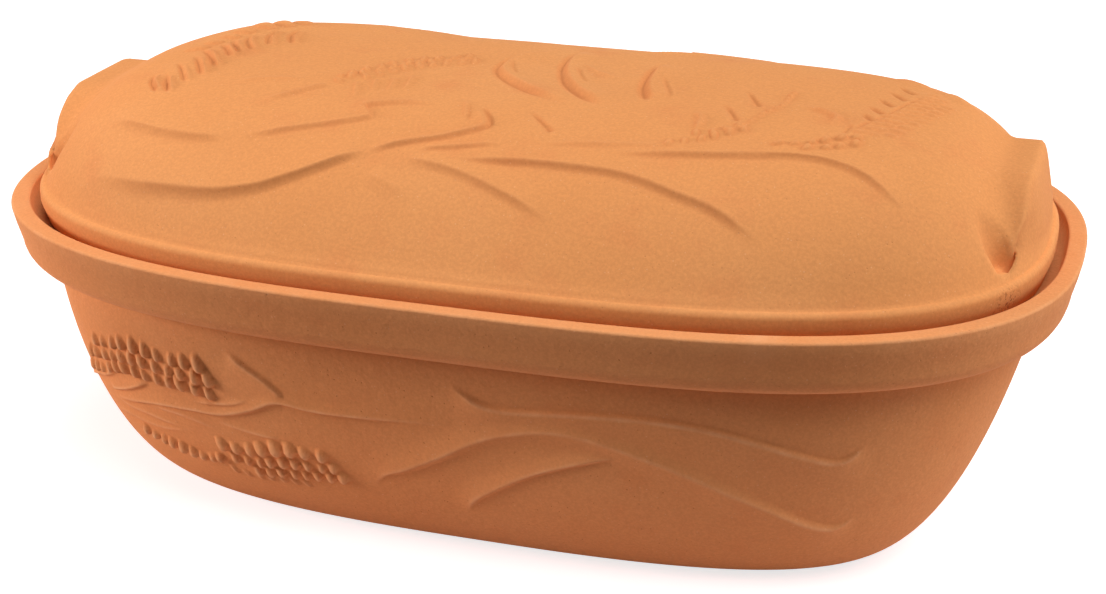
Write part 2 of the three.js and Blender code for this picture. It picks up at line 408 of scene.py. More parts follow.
def on_belt(flat: np.ndarray, points: Line, reach: float, verge: Span) -> np.ndarray:
    """Tells which points lie on a belt along a line.

    Args:
        flat: Points on the laid-out surface, in millimetres.
        points: The points that the line passes through.
        reach: Half width of the belt, in millimetres.
        verge: Share of the line in which the belt's ends fade, and the least share of its middle that counts.

    Returns:
        True for each point on the belt.
    """
    return even(points, 1.0, (reach, reach), (verge[0], verge[0]), True).heights(flat) > verge[1]


@dataclass(frozen=True)
class Unevenness:
    """How grains differ: two waves over their count, and how far these turn, swell, shift and space them."""

    sway_step: float = 2.4
    stray_step: float = 5.1
    turn: float = 12.0
    swelling: float = 0.14
    shift: float = 0.1
    spacing: float = 0.12


UNEVEN = Unevenness()


@dataclass(frozen=True)
class GrainRow:
    """One row of an ear: its distance from the ear's line, and the share of the line that it fills."""

    offset: float
    start: float = 0.0
    stop: float = 1.0


@dataclass(frozen=True)
class Ear:
    """An ear of wheat: rows of grains along a line, on a low swelling."""

    points: Line
    rows: tuple[GrainRow, ...]
    pitch: float
    grain: Span
    lean: float
    height: float
    bed: float = 0.4
    young: float = 0.0

    def grains(self) -> list[tuple[np.ndarray, np.ndarray, float]]:
        """Places the ear's grains.

        Returns:
            The middle of each grain, the direction of its length, and its size beside the others.
        """
        line = drawn_line(self.points, EAR_SPACING)
        run = run_along(line)
        course = np.gradient(line, run, axis=0)
        placed = []
        for number, row in enumerate(self.rows):
            travel = row.start * run[-1] + self.pitch * (0.5 + 0.5 * (number % 2))
            while travel < row.stop * run[-1]:
                sway = math.sin(UNEVEN.sway_step * len(placed))
                stray = math.sin(UNEVEN.stray_step * len(placed) + number)
                at = np.array([np.interp(travel, run, line[:, axis]) for axis in (0, 1)])
                way = np.array([np.interp(travel, run, course[:, axis]) for axis in (0, 1)])
                way /= np.linalg.norm(way)
                across = np.array([-way[1], way[0]])
                turn = math.radians(self.lean + UNEVEN.turn * sway)
                lengthways = math.cos(turn) * way + math.sin(turn) * across
                size = (1.0 + UNEVEN.swelling * stray) * (1.0 - self.young * (1.0 - travel / run[-1]) ** 2)
                offset = row.offset + UNEVEN.shift * self.pitch * stray
                placed.append((at + across * offset, lengthways, size))
                travel += self.pitch * (1.0 + UNEVEN.spacing * sway)
        return placed

    @property
    def half_width(self) -> float:
        """Half of the ear's width."""
        return max(abs(row.offset) for row in self.rows) + max(self.grain) / 2

    def heights(self, flat: np.ndarray) -> np.ndarray:
        """Works out how high the ear stands; see Blade.heights."""
        swell = (self.half_width, self.half_width)
        result = even(self.points, self.bed, swell, BED_FADE, True).heights(flat)
        grown = np.zeros(len(flat))
        reach = max(self.grain)
        for middle, lengthways, size in self.grains():
            near = np.all(np.abs(flat - middle) < reach, axis=1)
            spot = (flat[near] - middle) / size
            along = spot @ lengthways / (self.grain[0] / 2)
            across = (spot[:, 1] * lengthways[0] - spot[:, 0] * lengthways[1]) / (self.grain[1] / 2)
            dome = np.maximum(1.0 - along**2 - across**2 * (1.0 - GRAIN_TAPER * along), 0.0) ** 0.5
            grown[near] = np.maximum(grown[near], self.height * size * dome * (1.0 + GRAIN_TIP * along))
        return result + grown

    def detail(self, flat: np.ndarray, margin: float) -> np.ndarray:
        """Tells which points lie on the ear, where the mesh has to be fine."""
        return on_belt(flat, self.points, self.half_width + margin, EAR_VERGE)


@dataclass(frozen=True)
class Relief:
    """All raised ornament of a piece, on its laid-out surface."""

    blades: tuple[Blade, ...]
    ears: tuple[Ear, ...]

    def heights(self, flat: np.ndarray) -> np.ndarray:
        """Joins the blades softly and sets the ears on them; see Blade.heights."""
        raised = np.zeros(len(flat))
        for blade in self.blades:
            if blade.height > 0.0:
                raised += blade.heights(flat) ** BLEND_POWER
        total = raised ** (1.0 / BLEND_POWER)
        for part in (*self.ears, *(blade for blade in self.blades if blade.height < 0.0)):
            total += part.heights(flat)
        return total

    def detail(self, flat: np.ndarray, margin: float) -> np.ndarray:
        """Tells which points need a fine mesh."""
        marks = [part.detail(flat, margin) for part in (*self.blades, *self.ears)]
        return np.any(marks, axis=0)


# Lines of the relief, in millimetres: in plan on the lid, and along the rim and upwards on the dish.
LID_LEAVES = (
    Blade(
        ((-150, -76), (-135, -80.5), (-116, -86), (-92, -89.3), (-75, -88.2), (-62.5, -84.3), (-51, -79),
         (-37, -71.5)),
        2.0, (16, 9), (4.2, 2.6), (0.35, 0.1),
    ),
    Blade(
        ((-146, -57.5), (-133, -63), (-117, -68.5), (-103, -71), (-88, -71.5)),
        1.4, (11, 8), (4.0, 2.6), (0.3, 0.25),
    ),
    Blade(
        ((-88, -71.5), (-70, -66), (-57.5, -62), (-46, -57.3), (-44.2, -55.3), (-48, -50.5), (-47, -48.5),
         (-39, -45.5), (-31, -43.3), (-20, -41.5)),
        1.2, (8, 6), (2.0, 1.8), (0.2, 0.25),
    ),
    Blade(
        ((-16, -73), (0, -72), (20, -70.8), (40, -71), (51, -71.8), (60, -73.6), (71.5, -76.8),
         (82.5, -79.3), (93, -83.2), (103, -87.6)),
        1.7, (9, 11), (2.2, 2.6), (0.25, 0.15),
    ),
    Blade(
        ((-28, -73.5), (-14, -75), (-2, -77.5), (12, -82), (24.5, -86.5), (35, -91.5)),
        1.4, (8, 9), (3.0, 2.6), (0.25, 0.3),
    ),
    even(((-38, -80.5), (-26, -83.5), (-16, -88)), 0.8, (5, 5), (0.4, 0.4)),
    Blade(
        ((38, -63.5), (55, -61.8), (75, -59.3), (91.5, -56.5), (107.5, -53.6), (121, -54), (131.5, -57),
         (139, -60.7), (147, -65)),
        1.6, (7, 10), (2.0, 2.5), (0.3, 0.2),
    ),
)
LID_STEMS = (
    Blade(
        ((-40, -73.5), (-28, -68), (-15, -63.5), (-6, -58.7), (-2, -55.5), (-3.5, -51), (-10, -41.5)),
        1.5, (4, 5), (1.8, 2.0), (0.2, 0.3),
    ),
    Blade(((-14, -38), (-11.5, -45), (-9, -53)), 1.1, (3, 3), (2, 2), (0.3, 0.3)),
    Blade(((-24, -70.5), (-7, -67), (10.5, -63)), 1.2, (4, 4), (2, 2), (0.3, 0.3)),
    Blade(((14, -62.5), (36, -59.2), (60, -57), (88, -52)), 0.8, (4, 4), (2.4, 2.4), (0.3, 0.3)),
    Blade(
        ((-3, 33), (-8.5, 24), (-12.5, 13), (-13, -1), (-7, -11.5), (5.5, -22.5), (26, -33)),
        1.8, (9, 10), (2.6, 3.0), (0.25, 0.3),
    ),
    Blade(
        ((8.5, 35), (8, 21), (9.5, 7), (15.5, -9.5), (24, -21.5), (36, -31)),
        1.9, (9, 9), (2.6, 3.0), (0.2, 0.15),
    ),
    even(((12, 16), (20.5, 5), (33, -2)), 1.0, (4, 4), (0.3, 0.4)),
    Blade(
        ((43, 25), (42, 13), (43, -1), (45.5, -12.5), (50, -22.5)),
        1.9, (9, 9), (2.8, 3.2), (0.25, 0.12),
    ),
    Blade(((66.5, -29), (69.5, -37), (70, -47)), 1.3, (3, 3), (2.2, 2.2), (0.35, 0.35)),
    Blade(((100, -13.5), (108.5, -18), (113.5, -23), (112, -30)), 1.6, (3.5, 3.5), (2.4, 2.6), (0.4, 0.3)),
    Blade(((-106, -40), (-92, -34.5), (-76, -31.5)), 0.8, (4, 4), (3, 3), (0.35, 0.35)),
    Blade(((-88, -52), (-77, -44), (-68, -34)), 1.1, (3, 3), (2.4, 2.4), (0.35, 0.2)),
)
LID_CREASES = (
    even(
        ((-11, 24), (-15.3, 13), (-15.6, -2), (-9, -13.5), (4, -25), (24, -35.5)),
        -1.0, (2, 2.4), (0.3, 0.4),
    ),
    even(
        ((5.5, 33), (5.2, 21), (6.8, 6), (12.8, -11), (21.8, -23.5), (34, -33.3)),
        -1.1, (2, 2.6), (0.25, 0.2),
    ),
    even(((40.3, 25), (39.2, 13), (40.2, -1.5), (42.8, -13.5), (47.3, -23.8)), -1.2, (2, 3), (0.35, 0.12)),
    even(((9.5, -41.5), (16.5, -48.5), (22.5, -55)), -1.2, (1.2, 2.8), (0.5, 0.12)),
    even(((73, -19), (77.5, -26), (82, -35)), -1.1, (1.2, 2.6), (0.5, 0.12)),
    even(((77.5, 0), (81.5, -9), (86.5, -19.5)), -1.1, (1.2, 2.6), (0.5, 0.12)),
    even(((-13, -39), (-10.5, -46), (-8.5, -53)), -0.9, (1.6, 1.8), (0.4, 0.2)),
    even(((-7.5, -41), (-1.5, -50), (-0.5, -55), (-5, -60)), -0.9, (1.5, 1.8), (0.3, 0.3)),
    even(((-12.5, 9), (-9.5, 0), (-5, -9)), -0.7, (1.3, 1.3), (0.3, 0.3)),
    even(((13, 8), (17, -2.5), (22.5, -12)), -0.8, (1.3, 1.3), (0.3, 0.3)),
    even(((45.5, 6), (49.5, -5), (53, -14), (54.5, -22)), -0.7, (1.3, 1.3), (0.3, 0.3)),
    even(((120, -32), (124.5, -22.5), (129, -14.5), (132.5, -2), (138, 15)), -0.7, (1.4, 1.4), (0.15, 0.2)),
    even(((118, -36), (118.7, -31), (120, -26)), -0.7, (1.4, 1.4), (0.3, 0.3)),
)
BEARD_GROOVE = 2.6
LID_BEARD = tuple(
    Blade(points, height, (2.6, 2.6), (1.7, 1.7), (0.35, 0.25))
    for points, height in (
        (((-136.5, -32), (-134.5, -39), (-128.5, -47)), 1.5),
        (((-131, -33), (-128, -40), (-123.5, -48)), 1.3),
        (((-132, -22), (-126, -31), (-120, -41)), 1.0),
        (((-128.5, -14.5), (-121, -27), (-116.5, -35)), 1.8),
        (((-131, -4), (-122, -16), (-114.5, -27.5)), 1.9),
        (((-126.5, 3), (-120, -6), (-114, -15.5)), 1.8),
        (((-125.5, 11), (-119.5, 0), (-112.5, -10.5)), 1.4),
        (((-121.5, 19), (-117, 6), (-109.5, -6)), 1.9),
        (((-114, 29), (-112, 15), (-106.5, 2)), 1.8),
        (((-106, 32), (-105, 20), (-99.5, 8)), 1.3),
    )
)
LID_AWNS = LID_BEARD + tuple(
    even(tuple((x - BEARD_GROOVE, y) for x, y in awn.points), -1.1, (1.5, 1.5), awn.fade)
    for awn in LID_BEARD
) + tuple(
    Blade(points, 0.8, (2.4, 2.4), (1.8, 1.8), (0.2, 0.4))
    for points in (
        ((-59, -30), (-56, -38), (-53.5, -46)),
        ((-53, -26), (-51, -33), (-49.5, -39)),
        ((-47, -22.5), (-45, -31), (-44, -38.5)),
        ((-41.5, -18), (-40, -27), (-39, -36)),
    )
) + tuple(
    even(points, -1.3, (1.6, 2.6), (0.5, 0.15))
    for points in (
        ((121, -14), (123, -17.5), (125.5, -20.5)),
        ((121.5, -5.5), (125, -9.5), (128.5, -13)),
        ((123, 5.5), (127, 0.5), (130.5, -3.5)),
        ((125, 16.5), (129.5, 11), (133.5, 6)),
        ((127.5, 26), (131.5, 20.5), (135.5, 16.5)),
    )
)
LID_EARS = (
    Ear(
        ((121, -33), (126, -24), (131, -13), (134.5, -1), (138.5, 13), (140, 25)),
        (GrainRow(-0.4), GrainRow(-4.4, 0.0, 0.95), GrainRow(-8.4, 0.1, 0.85)), 4.6, (5.6, 2.2), -64.0, 0.6,
    ),
    Ear(
        ((96, -49), (106, -46.3), (116.5, -40.5), (123, -36.5)),
        (GrainRow(0.0), GrainRow(-3.8, 0.2)), 5.4, (4.4, 3.0), 30.0, 1.2,
    ),
    Ear(((84, -39), (88.5, -28), (93, -17.5), (95, 0)), (GrainRow(0.0),), 3.8, (3.6, 1.8), 20.0, 0.8, 0.2),
    Ear(
        ((60, -54.5), (70, -50), (78, -45), (86, -39)),
        (GrainRow(-1.6), GrainRow(2.0, 0.25)), 5.2, (4.4, 2.6), 60.0, 0.9,
    ),
    Ear(
        ((-68, -36.5), (-64, -27.5), (-53, -13.5), (-42, -2), (-25, 9)),
        (GrainRow(-4.2, 0.2), GrainRow(-0.8), GrainRow(2.6, 0.1), GrainRow(5.8, 0.25)),
        5.6, (5.0, 2.4), 62.0, 0.9,
    ),
    Ear(((-137, -8), (-131, 12), (-122, 28), (-110, 40)), (GrainRow(0.0),), 8.5, (10.0, 5.0), -55.0, 1.2),
)
LID_SWELLS = (
    Blade(((-146, 12), (-120, 38), (-85, 52), (-45, 53)), 2.2, (20, 20), (24, 20), (0.3, 0.35), True),
    even(((-137, -45), (-127, -22), (-118, 2), (-106, 32)), 0.9, (13, 13), (0.25, 0.25), True),
    even(((122, 45), (133, 36), (140, 28)), 1.2, (7, 7), (0.4, 0.4), True),
    even(((141, 38), (150, 29), (155, 20)), 1.2, (7, 7), (0.4, 0.4), True),
)
GRIP_FLANK: Line = ((184, 25), (182, 35), (178.5, 43.5), (174, 49))
LID_GROOVES = tuple(
    even(tuple((end * x, side * y) for x, y in GRIP_FLANK), -2.0, (2.2, 2.8), (0.4, 0.1))
    for end in (1, -1)
    for side in (1, -1)
)
LID_PITS = (178.5, -55.5, 107.5)
LID_PIT_REACH = 5.5
# Painted shade on the lid relief's steep slopes.
LID_STEEP_PAINTED_SHADE = 0.4
DISH_CHIP = (106.0, -106.0, 110.0)
DISH_CALM_ABOVE = 92.0
DISH_LEAVES = (
    Blade(
        ((2, 79), (8, 75.2), (16, 72), (26, 71.3), (45, 72.8), (72, 74), (92, 72.8), (108, 70), (128, 64.5),
         (141, 60.8), (147, 60), (151.5, 61.3), (157, 66)),
        1.5, (1.6, 1.3), (11, 14), (0.08, 0.06),
    ),
    Blade(
        ((-38, 28), (-30, 36), (-18, 41.5), (-4, 48.5), (10, 56.5), (22, 61.5), (38, 65), (52, 64.8),
         (68, 61.5), (88, 55.5), (108, 47.8), (128, 39.5), (142, 33.3), (151, 30.8), (157, 31.2), (163, 35)),
        1.7, (10, 1.3), (1.6, 13), (0.1, 0.05),
    ),
    Blade(
        ((3, 22), (9, 31), (20, 38.5), (32, 45.5), (46, 51.5), (60, 56), (74, 58.8)),
        1.6, (9, 5), (2.2, 1.6), (0.15, 0.3),
    ),
    Blade(
        ((-170, 39.5), (-160, 42.3), (-137, 47.3), (-115, 50), (-99, 51.2), (-84, 55.6), (-72, 60.8),
         (-64, 61.2), (-54, 60.3), (-30, 60.8), (2, 61.8)),
        1.5, (6, 5), (2.0, 1.6), (0.15, 0.3),
    ),
    Blade(((-114, 53), (-104, 54.7), (-92, 56.6), (-80, 60.6)), 1.0, (3, 3), (1.5, 1.5), (0.3, 0.3)),
    Blade(((-168, 44.6), (-152, 49), (-141, 53.3), (-133.5, 57)), 1.4, (5, 5), (1.6, 1.6), (0.2, 0.2)),
    Blade(((-196, 41), (-178, 47.5), (-165, 51), (-155, 55)), 1.3, (5, 5), (1.6, 1.6), (0.3, 0.2)),
    Blade(((-89, 78.5), (-80, 73), (-73, 69), (-66, 63.3)), 1.2, (1.6, 1.6), (10, 10), (0.25, 0.1)),
    Blade(((-170, 41), (-155, 40), (-143, 40.4), (-121, 38.7)), 0.7, (3, 3), (2, 2), (0.3, 0.3)),
    Blade(((-142, 45.5), (-120, 45.5), (-104, 42.3)), 0.7, (3, 3), (2, 2), (0.3, 0.3)),
    Blade(((-104, 47), (-88, 45.3), (-72, 44)), 0.7, (3, 3), (2, 2), (0.3, 0.3)),
    even(((-186, 31), (-164, 35), (-140, 35.5), (-116, 40)), 0.6, (2.6, 2.6), (0.3, 0.3)),
)
DISH_EARS = (
    Ear(
        ((-186, 54), (-166, 60), (-145, 64.5), (-122, 65.5), (-98, 65)),
        (GrainRow(5.2, 0.24), GrainRow(0.0, 0.1), GrainRow(-5.2, 0.04)), 6.6, (6.6, 3.9), -74.0, 2.0,
        young=0.35,
    ),
    Ear(
        ((-156, 31), (-143, 29.5), (-132, 28), (-122, 27.2), (-110, 29)),
        (GrainRow(0.0),), 5.2, (4.8, 3.8), -50.0, 2.0,
    ),
    Ear(((-110, 36), (-90, 37.5), (-71, 40.5), (-51, 41)), (GrainRow(0.0),), 7.0, (6.6, 5.2), -70.0, 2.2),
    Ear(
        ((-106, 30.5), (-90, 31.5), (-72, 34), (-50, 35.5)),
        (GrainRow(0.0), GrainRow(-4.8, 0.1)), 6.2, (5.0, 4.2), -65.0, 1.9, 0.2,
    ),
    Ear(((-112, 23.5), (-96, 23.5), (-66, 25)), (GrainRow(0.0),), 6.2, (4.8, 3.0), -60.0, 0.8, 0.1),
)


FULL_BEND = 0.6
BEND_BLURS = 2
FULL_SLOPE = 0.8
FREE_SLOPE = 0.15
LEAST_RUN = 1e-3
CALM_SHARE = 0.3
CHIP_REACH = 6.0


def bending(place: np.ndarray, normal: np.ndarray, ends: np.ndarray) -> np.ndarray:
    """Measures how a surface bends at its points, averaged with their neighbours.

    Args:
        place: The points, in millimetres.
        normal: Their normals.
        ends: The two points of each edge.

    Returns:
        The bend at each point per millimetre, above 0 on edges and below 0 in hollows.
    """
    count = len(place)
    first, second = ends.T
    step = place[second] - place[first]
    tilt = normal[second] - normal[first]
    bend = (step * tilt).sum(1) / np.maximum((step**2).sum(1), LEAST_RUN**2)
    degree = np.maximum(np.bincount(ends.ravel(), minlength=count), 1)
    curve = np.bincount(ends.ravel(), np.repeat(bend, 2), count) / degree
    for _ in range(BEND_BLURS):
        spread = np.bincount(first, curve[second], count) + np.bincount(second, curve[first], count)
        curve = 0.5 * curve + 0.5 * spread / degree
    return curve


def steepness(place: np.ndarray, lift: np.ndarray, ends: np.ndarray) -> np.ndarray:
    """Finds the relief's steepest slope beside each point.

    Args:
        place: The points, in millimetres.
        lift: How far the relief raised each point, in millimetres.
        ends: The two points of each edge.

    Returns:
        The slope at each point.
    """
    rise = np.abs(np.diff(lift[ends], axis=1)[:, 0])
    run = np.linalg.norm(place[ends[:, 1]] - place[ends[:, 0]], axis=1)
    steep = np.zeros(len(place))
    np.maximum.at(steep, ends.ravel(), np.repeat(rise / np.maximum(run, LEAST_RUN), 2))
    return steep


def spot(place: np.ndarray, middle: Place, reach: float) -> np.ndarray:
    """Gives a soft round spot: 1 at its middle, and fading over its reach in millimetres."""
    return np.exp(-((place - middle) ** 2).sum(1) / reach**2)


@dataclass
class ClayPiece:
    """A fired clay piece: its mesh is grown, made finer under the relief, and raised along its normals."""

    name: str
    body: str
    node: str
    relief: Relief
    pits: Place = (0.0, 0.0, 0.0)
    pit_reach: float = 1.0
    calm_above: float = 1000.0
    chip: Place = (0.0, 0.0, 0.0)
    # Share of painted shade laid on the relief's steep slopes.
    steep_painted_shade: float = 0.0
    mesh: bmesh.types.BMesh = field(default_factory=bmesh.new)

    def coordinates(self) -> np.ndarray:
        """Lists the mesh's points in millimetres."""
        return np.array([vert.co[:] for vert in self.mesh.verts]) / MM

    def grow(self) -> None:
        """Grows the plain skin of the piece."""
        raise NotImplementedError

    def on_show_side(self, points: np.ndarray) -> np.ndarray:
        """Tells which points lie on the surface that carries relief."""
        raise NotImplementedError

    def lay_flat(self, points: np.ndarray) -> np.ndarray:
        """Gives the places of points on the laid-out surface."""
        raise NotImplementedError

    def settle(self, points: np.ndarray) -> np.ndarray:
        """Puts points of the show side back on the exact surface."""
        raise NotImplementedError

    def refine(self, margin: float) -> None:
        """Halves the faces under fine relief, and settles the new points on the surface.

        Args:
            margin: How far the fine mesh reaches beyond narrow relief, in millimetres.
        """
        self.mesh.verts.ensure_lookup_table()
        points = self.coordinates()
        shown = self.on_show_side(points)
        fine = np.zeros(len(points), bool)
        fine[shown] = self.relief.detail(self.lay_flat(points[shown]), margin)
        self.mesh.verts.index_update()
        edges = {
            edge
            for face in self.mesh.faces
            if any(fine[vert.index] for vert in face.verts) and all(shown[vert.index] for vert in face.verts)
            for edge in face.edges
        }
        bmesh.ops.subdivide_edges(self.mesh, edges=list(edges), cuts=1, use_grid_fill=True)
        wide = [face for face in self.mesh.faces if len(face.verts) > 4]
        bmesh.ops.triangulate(self.mesh, faces=wide)
        points = self.coordinates()
        shown = self.on_show_side(points)
        points[shown] = self.settle(points[shown])
        for vert, point in zip(self.mesh.verts, points):
            vert.co = point * MM

    def emboss(self) -> None:
        """Raises the relief along the normals."""
        self.mesh.normal_update()
        points = self.coordinates()
        shown = self.on_show_side(points)
        heights = np.zeros(len(points))
        heights[shown] = self.relief.heights(self.lay_flat(points[shown]))
        lift = self.mesh.verts.layers.float.new("lift")
        for vert, height in zip(self.mesh.verts, heights):
            vert[lift] = height
            if height:
                vert.co += vert.normal * (height * MM)

    def build(self, finish: "FiredClay") -> None:
        """Builds and dresses the piece, and lets it ride on its body.

        Args:
            finish: The clay's finish.
        """
        self.grow()
        bmesh.ops.recalc_face_normals(self.mesh, faces=list(self.mesh.faces))
        for margin in REFINE_MARGINS:
            self.refine(margin)
        self.emboss()
        data = bpy.data.meshes.new(self.name)
        self.mesh.to_mesh(data)
        self.mesh.free()
        data.shade_smooth()
        self.mark(data)
        LOG.info("%s: %d triangles", self.name, sum(len(face.vertices) - 2 for face in data.polygons))
        piece = bpy.data.objects.new(self.name, data)
        bpy.context.scene.collection.objects.link(piece)
        data.materials.append(finish.material())
        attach(piece, self.body)
        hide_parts(self.node)

    def mark(self, data: bpy.types.Mesh) -> None:
        """Writes the masks that the finish reads: pale edges, partly abrasion and partly painted highlight;
        painted shade in hollows and on steep relief; and pits.

        Args:
            data: The finished mesh.
        """
        count = len(data.vertices)
        place = np.empty(count * 3)
        normal = np.empty(count * 3, np.float32)
        ends = np.empty(len(data.edges) * 2, np.int32)
        lift = np.empty(count, np.float32)
        data.vertices.foreach_get("co", place)
        data.vertex_normals.foreach_get("vector", normal)
        data.edges.foreach_get("vertices", ends)
        data.attributes["lift"].data.foreach_get("value", lift)
        place, normal, ends = place.reshape(-1, 3) / MM, normal.reshape(-1, 3), ends.reshape(-1, 2)
        curve = bending(place, normal, ends) / FULL_BEND
        steep = steepness(place, lift, ends) / FULL_SLOPE - FREE_SLOPE
        # Pale convex edges and crests: partly abrasion, partly painted highlight where light catches them.
        worn_and_highlit = np.clip(curve, 0.0, 1.0) * np.where(place[:, 2] > self.calm_above, CALM_SHARE, 1.0)
        # Painted shade: darker colour in concave creases and on the relief's steep slopes, where shade falls.
        hollow = np.clip(-curve, 0.0, 1.0) + self.steep_painted_shade * np.clip(steep, 0.0, 1.0)
        masks = {
            "worn_and_highlit": np.maximum(worn_and_highlit, spot(place, self.chip, CHIP_REACH)),
            "hollow": np.clip(hollow, 0.0, 1.0),
            "pitted": spot(place, self.pits, self.pit_reach),
        }
        for name, values in masks.items():
            layer = data.attributes.new(name, "FLOAT", "POINT")
            layer.data.foreach_set("value", values.astype(np.float32))


@dataclass
class Dish(ClayPiece):
    """The deep lower dish: foot, rounded wall, collar, rim, ledge and cavity."""

    foot_length: float = 265.0
    foot_width: float = 133.5
    end_sweep: float = 26.0
    side_sweep: float = 16.5
    end_lean: float = 10.3
    foot_band: float = 14.0
    recess: float = 1.5
    wall: float = 8.5
    floor: float = 9.0
    collar_height: float = 21.7
    collar_draft: float = 2.8
    collar_round: float = 8.5
    overhang: float = 13.5
    rim_round: float = 1.0
    lid_wall: float = 7.0
    segments: int = 512
    coarse_segments: int = 176
    crowding: float = 0.25
    wall_rings: int = 54
    late_rise: float = 0.5
    collar_steps: int = 8
    face_rise: float = 11.4
    face_shares: Span = (0.34, 0.67)
    rim_steps: int = 5
    cavity_rings: int = 26
    show_gap: float = 1.0
    show_from: float = 2.0
    show_margin: float = 0.01

    @property
    def collar_low(self) -> float:
        """Height of the collar's lower edge."""
        return RIM.height - self.collar_height

    def guide(self, share: np.ndarray, foot: float, sweep: float, top: float, lean: float) -> np.ndarray:
        """Follows one of the wall's two guide curves.

        Args:
            share: Places along the curve, from foot to collar.
            foot: Half size of the foot.
            sweep: Run along the table before the wall turns up.
            top: Half size below the collar.
            lean: Pull towards the middle below the collar.

        Returns:
            The half size at each place.
        """
        rest = 1.0 - share
        low = foot * rest**3 + 3.0 * (foot + sweep) * share * rest**2
        return low + 3.0 * (top - lean) * share**2 * rest + top * share**3

    def half_sizes(self, share: np.ndarray) -> tuple[np.ndarray, np.ndarray, np.ndarray]:
        """Gives the wall's half length, half width and height at places along the guides."""
        top = RIM.inset(self.overhang, self.collar_low)
        end = self.guide(share, self.foot_length / 2, self.end_sweep, top.length, self.end_lean)
        side = self.guide(share, self.foot_width / 2, self.side_sweep, top.width, 0.0)
        level = self.collar_low * (3.0 * self.late_rise * share**2 * (1.0 - share) + share**3)
        return end, side, level

    def wall_sections(self, count: int, thickness: float, floor: float) -> list[Section]:
        """Makes the sections of the wall's outer or inner face.

        Args:
            count: Number of rings between foot and collar.
            thickness: Distance in from the outer face.
            floor: Height at which the face starts.

        Returns:
            The sections from foot to collar, evenly spaced.
        """
        fine = np.linspace(0.0, 1.0, GUIDE_SAMPLES)
        run = run_along(np.stack(self.half_sizes(fine)[1:], axis=-1))
        shares = np.interp(np.linspace(0.0, run[-1], count + 1), run, fine)
        sections = []
        for share, length, width, height in zip(shares, *self.half_sizes(shares)):
            raised = floor + height * (1.0 - floor / self.collar_low)
            oval = FOOT_OVAL.towards(RIM_OVAL, share)
            sections.append(Section(length - thickness, width - thickness, raised, oval))
        return sections

    def foot_section(self, inset: float, level: float) -> Section:
        """Makes a section of the foot's oval."""
        return Section(self.foot_length / 2 - inset, self.foot_width / 2 - inset, level, FOOT_OVAL)

    def grow(self) -> None:
        """Grows the dish from the foot, up the outside, over the rim and down into the cavity."""
        under = Loft.circle(self.mesh, self.coarse_segments, self.crowding)
        under.place(self.foot_section(self.foot_band, 0.0))
        outside = Loft.circle(self.mesh, self.segments, self.crowding)
        wall = self.wall_sections(self.wall_rings, 0.0, 0.0)
        outside.place(wall[0])
        outside.join(under)
        under.grow([self.foot_section(self.foot_band + self.recess, self.recess)]).close(self.recess)
        round_middle = self.collar_draft + self.collar_round
        face_low = self.collar_low + self.collar_round
        rim_middle = RIM.height - self.rim_round
        collar = RIM.rounded(round_middle, face_low, self.collar_round, (-90, 0), self.collar_steps)
        face = [
            RIM.inset(self.collar_draft * (1 - share), face_low + self.face_rise * share)
            for share in self.face_shares
        ]
        rim = RIM.rounded(self.rim_round, rim_middle, self.rim_round, (0, 90), self.rim_steps)
        lip = RIM.rounded(RIM.land - self.rim_round, rim_middle, self.rim_round, (90, 180), self.rim_steps)
        outside.grow([*wall[1:], *collar, *face, *rim, *lip])
        inside = Loft.circle(self.mesh, self.coarse_segments, self.crowding)
        inside.place(RIM.inset(RIM.land + RIM.draft, RIM.seat_level))
        outside.join(inside)
        ledge = RIM.inset(RIM.lid_foot_inset + self.lid_wall, RIM.seat_level)
        cavity = self.wall_sections(self.cavity_rings, self.wall, self.floor)
        inside.grow([ledge, *reversed(cavity)]).close(self.floor)

    def on_show_side(self, points: np.ndarray) -> np.ndarray:
        """Tells which points lie on the outside of the wall."""
        near = np.linalg.norm(self.settle(points) - points, axis=1) < self.show_gap
        level = points[:, 2]
        return near & (level > self.show_from) & (level < self.collar_low - self.show_margin)

    def wall_place(self, points: np.ndarray) -> tuple[np.ndarray, np.ndarray]:
        """Finds where points lie on the wall.

        Args:
            points: Points near the wall, in millimetres.

        Returns:
            The share along the guides, and the turn about the axis.
        """
        fine = np.linspace(0.0, 1.0, LEVEL_SAMPLES)
        levels = self.half_sizes(fine)[2]
        share = np.interp(points[:, 2], levels, fine)
        end, side, _ = self.half_sizes(share)
        return share, np.arctan2(points[:, 1] / side, points[:, 0] / end)

    def settle(self, points: np.ndarray) -> np.ndarray:
        """Puts points back on the exact outer face of the wall, at their own height and turn."""
        share, turn = self.wall_place(points)
        end, side, _ = self.half_sizes(share)
        reach = FOOT_OVAL.towards(RIM_OVAL, share).reach(turn)
        return np.stack([end * reach * np.cos(turn), side * reach * np.sin(turn), points[:, 2]], axis=-1)

    def lay_flat(self, points: np.ndarray) -> np.ndarray:
        """Unrolls the wall: the distance along the rim from the middle of a long side, and the height.

        Args:
            points: Points on the wall, in millimetres.

        Returns:
            The unrolled places. The second long side repeats the first.
        """
        turn = np.linspace(-math.pi, math.pi, RIM_SAMPLES)
        run = run_along(RIM.inset(0.0, 0.0).points(turn))
        station = np.interp(self.wall_place(points)[1], turn, run)
        half = run[-1] / 2
        return np.stack([station % half - half / 2, points[:, 2]], axis=-1)


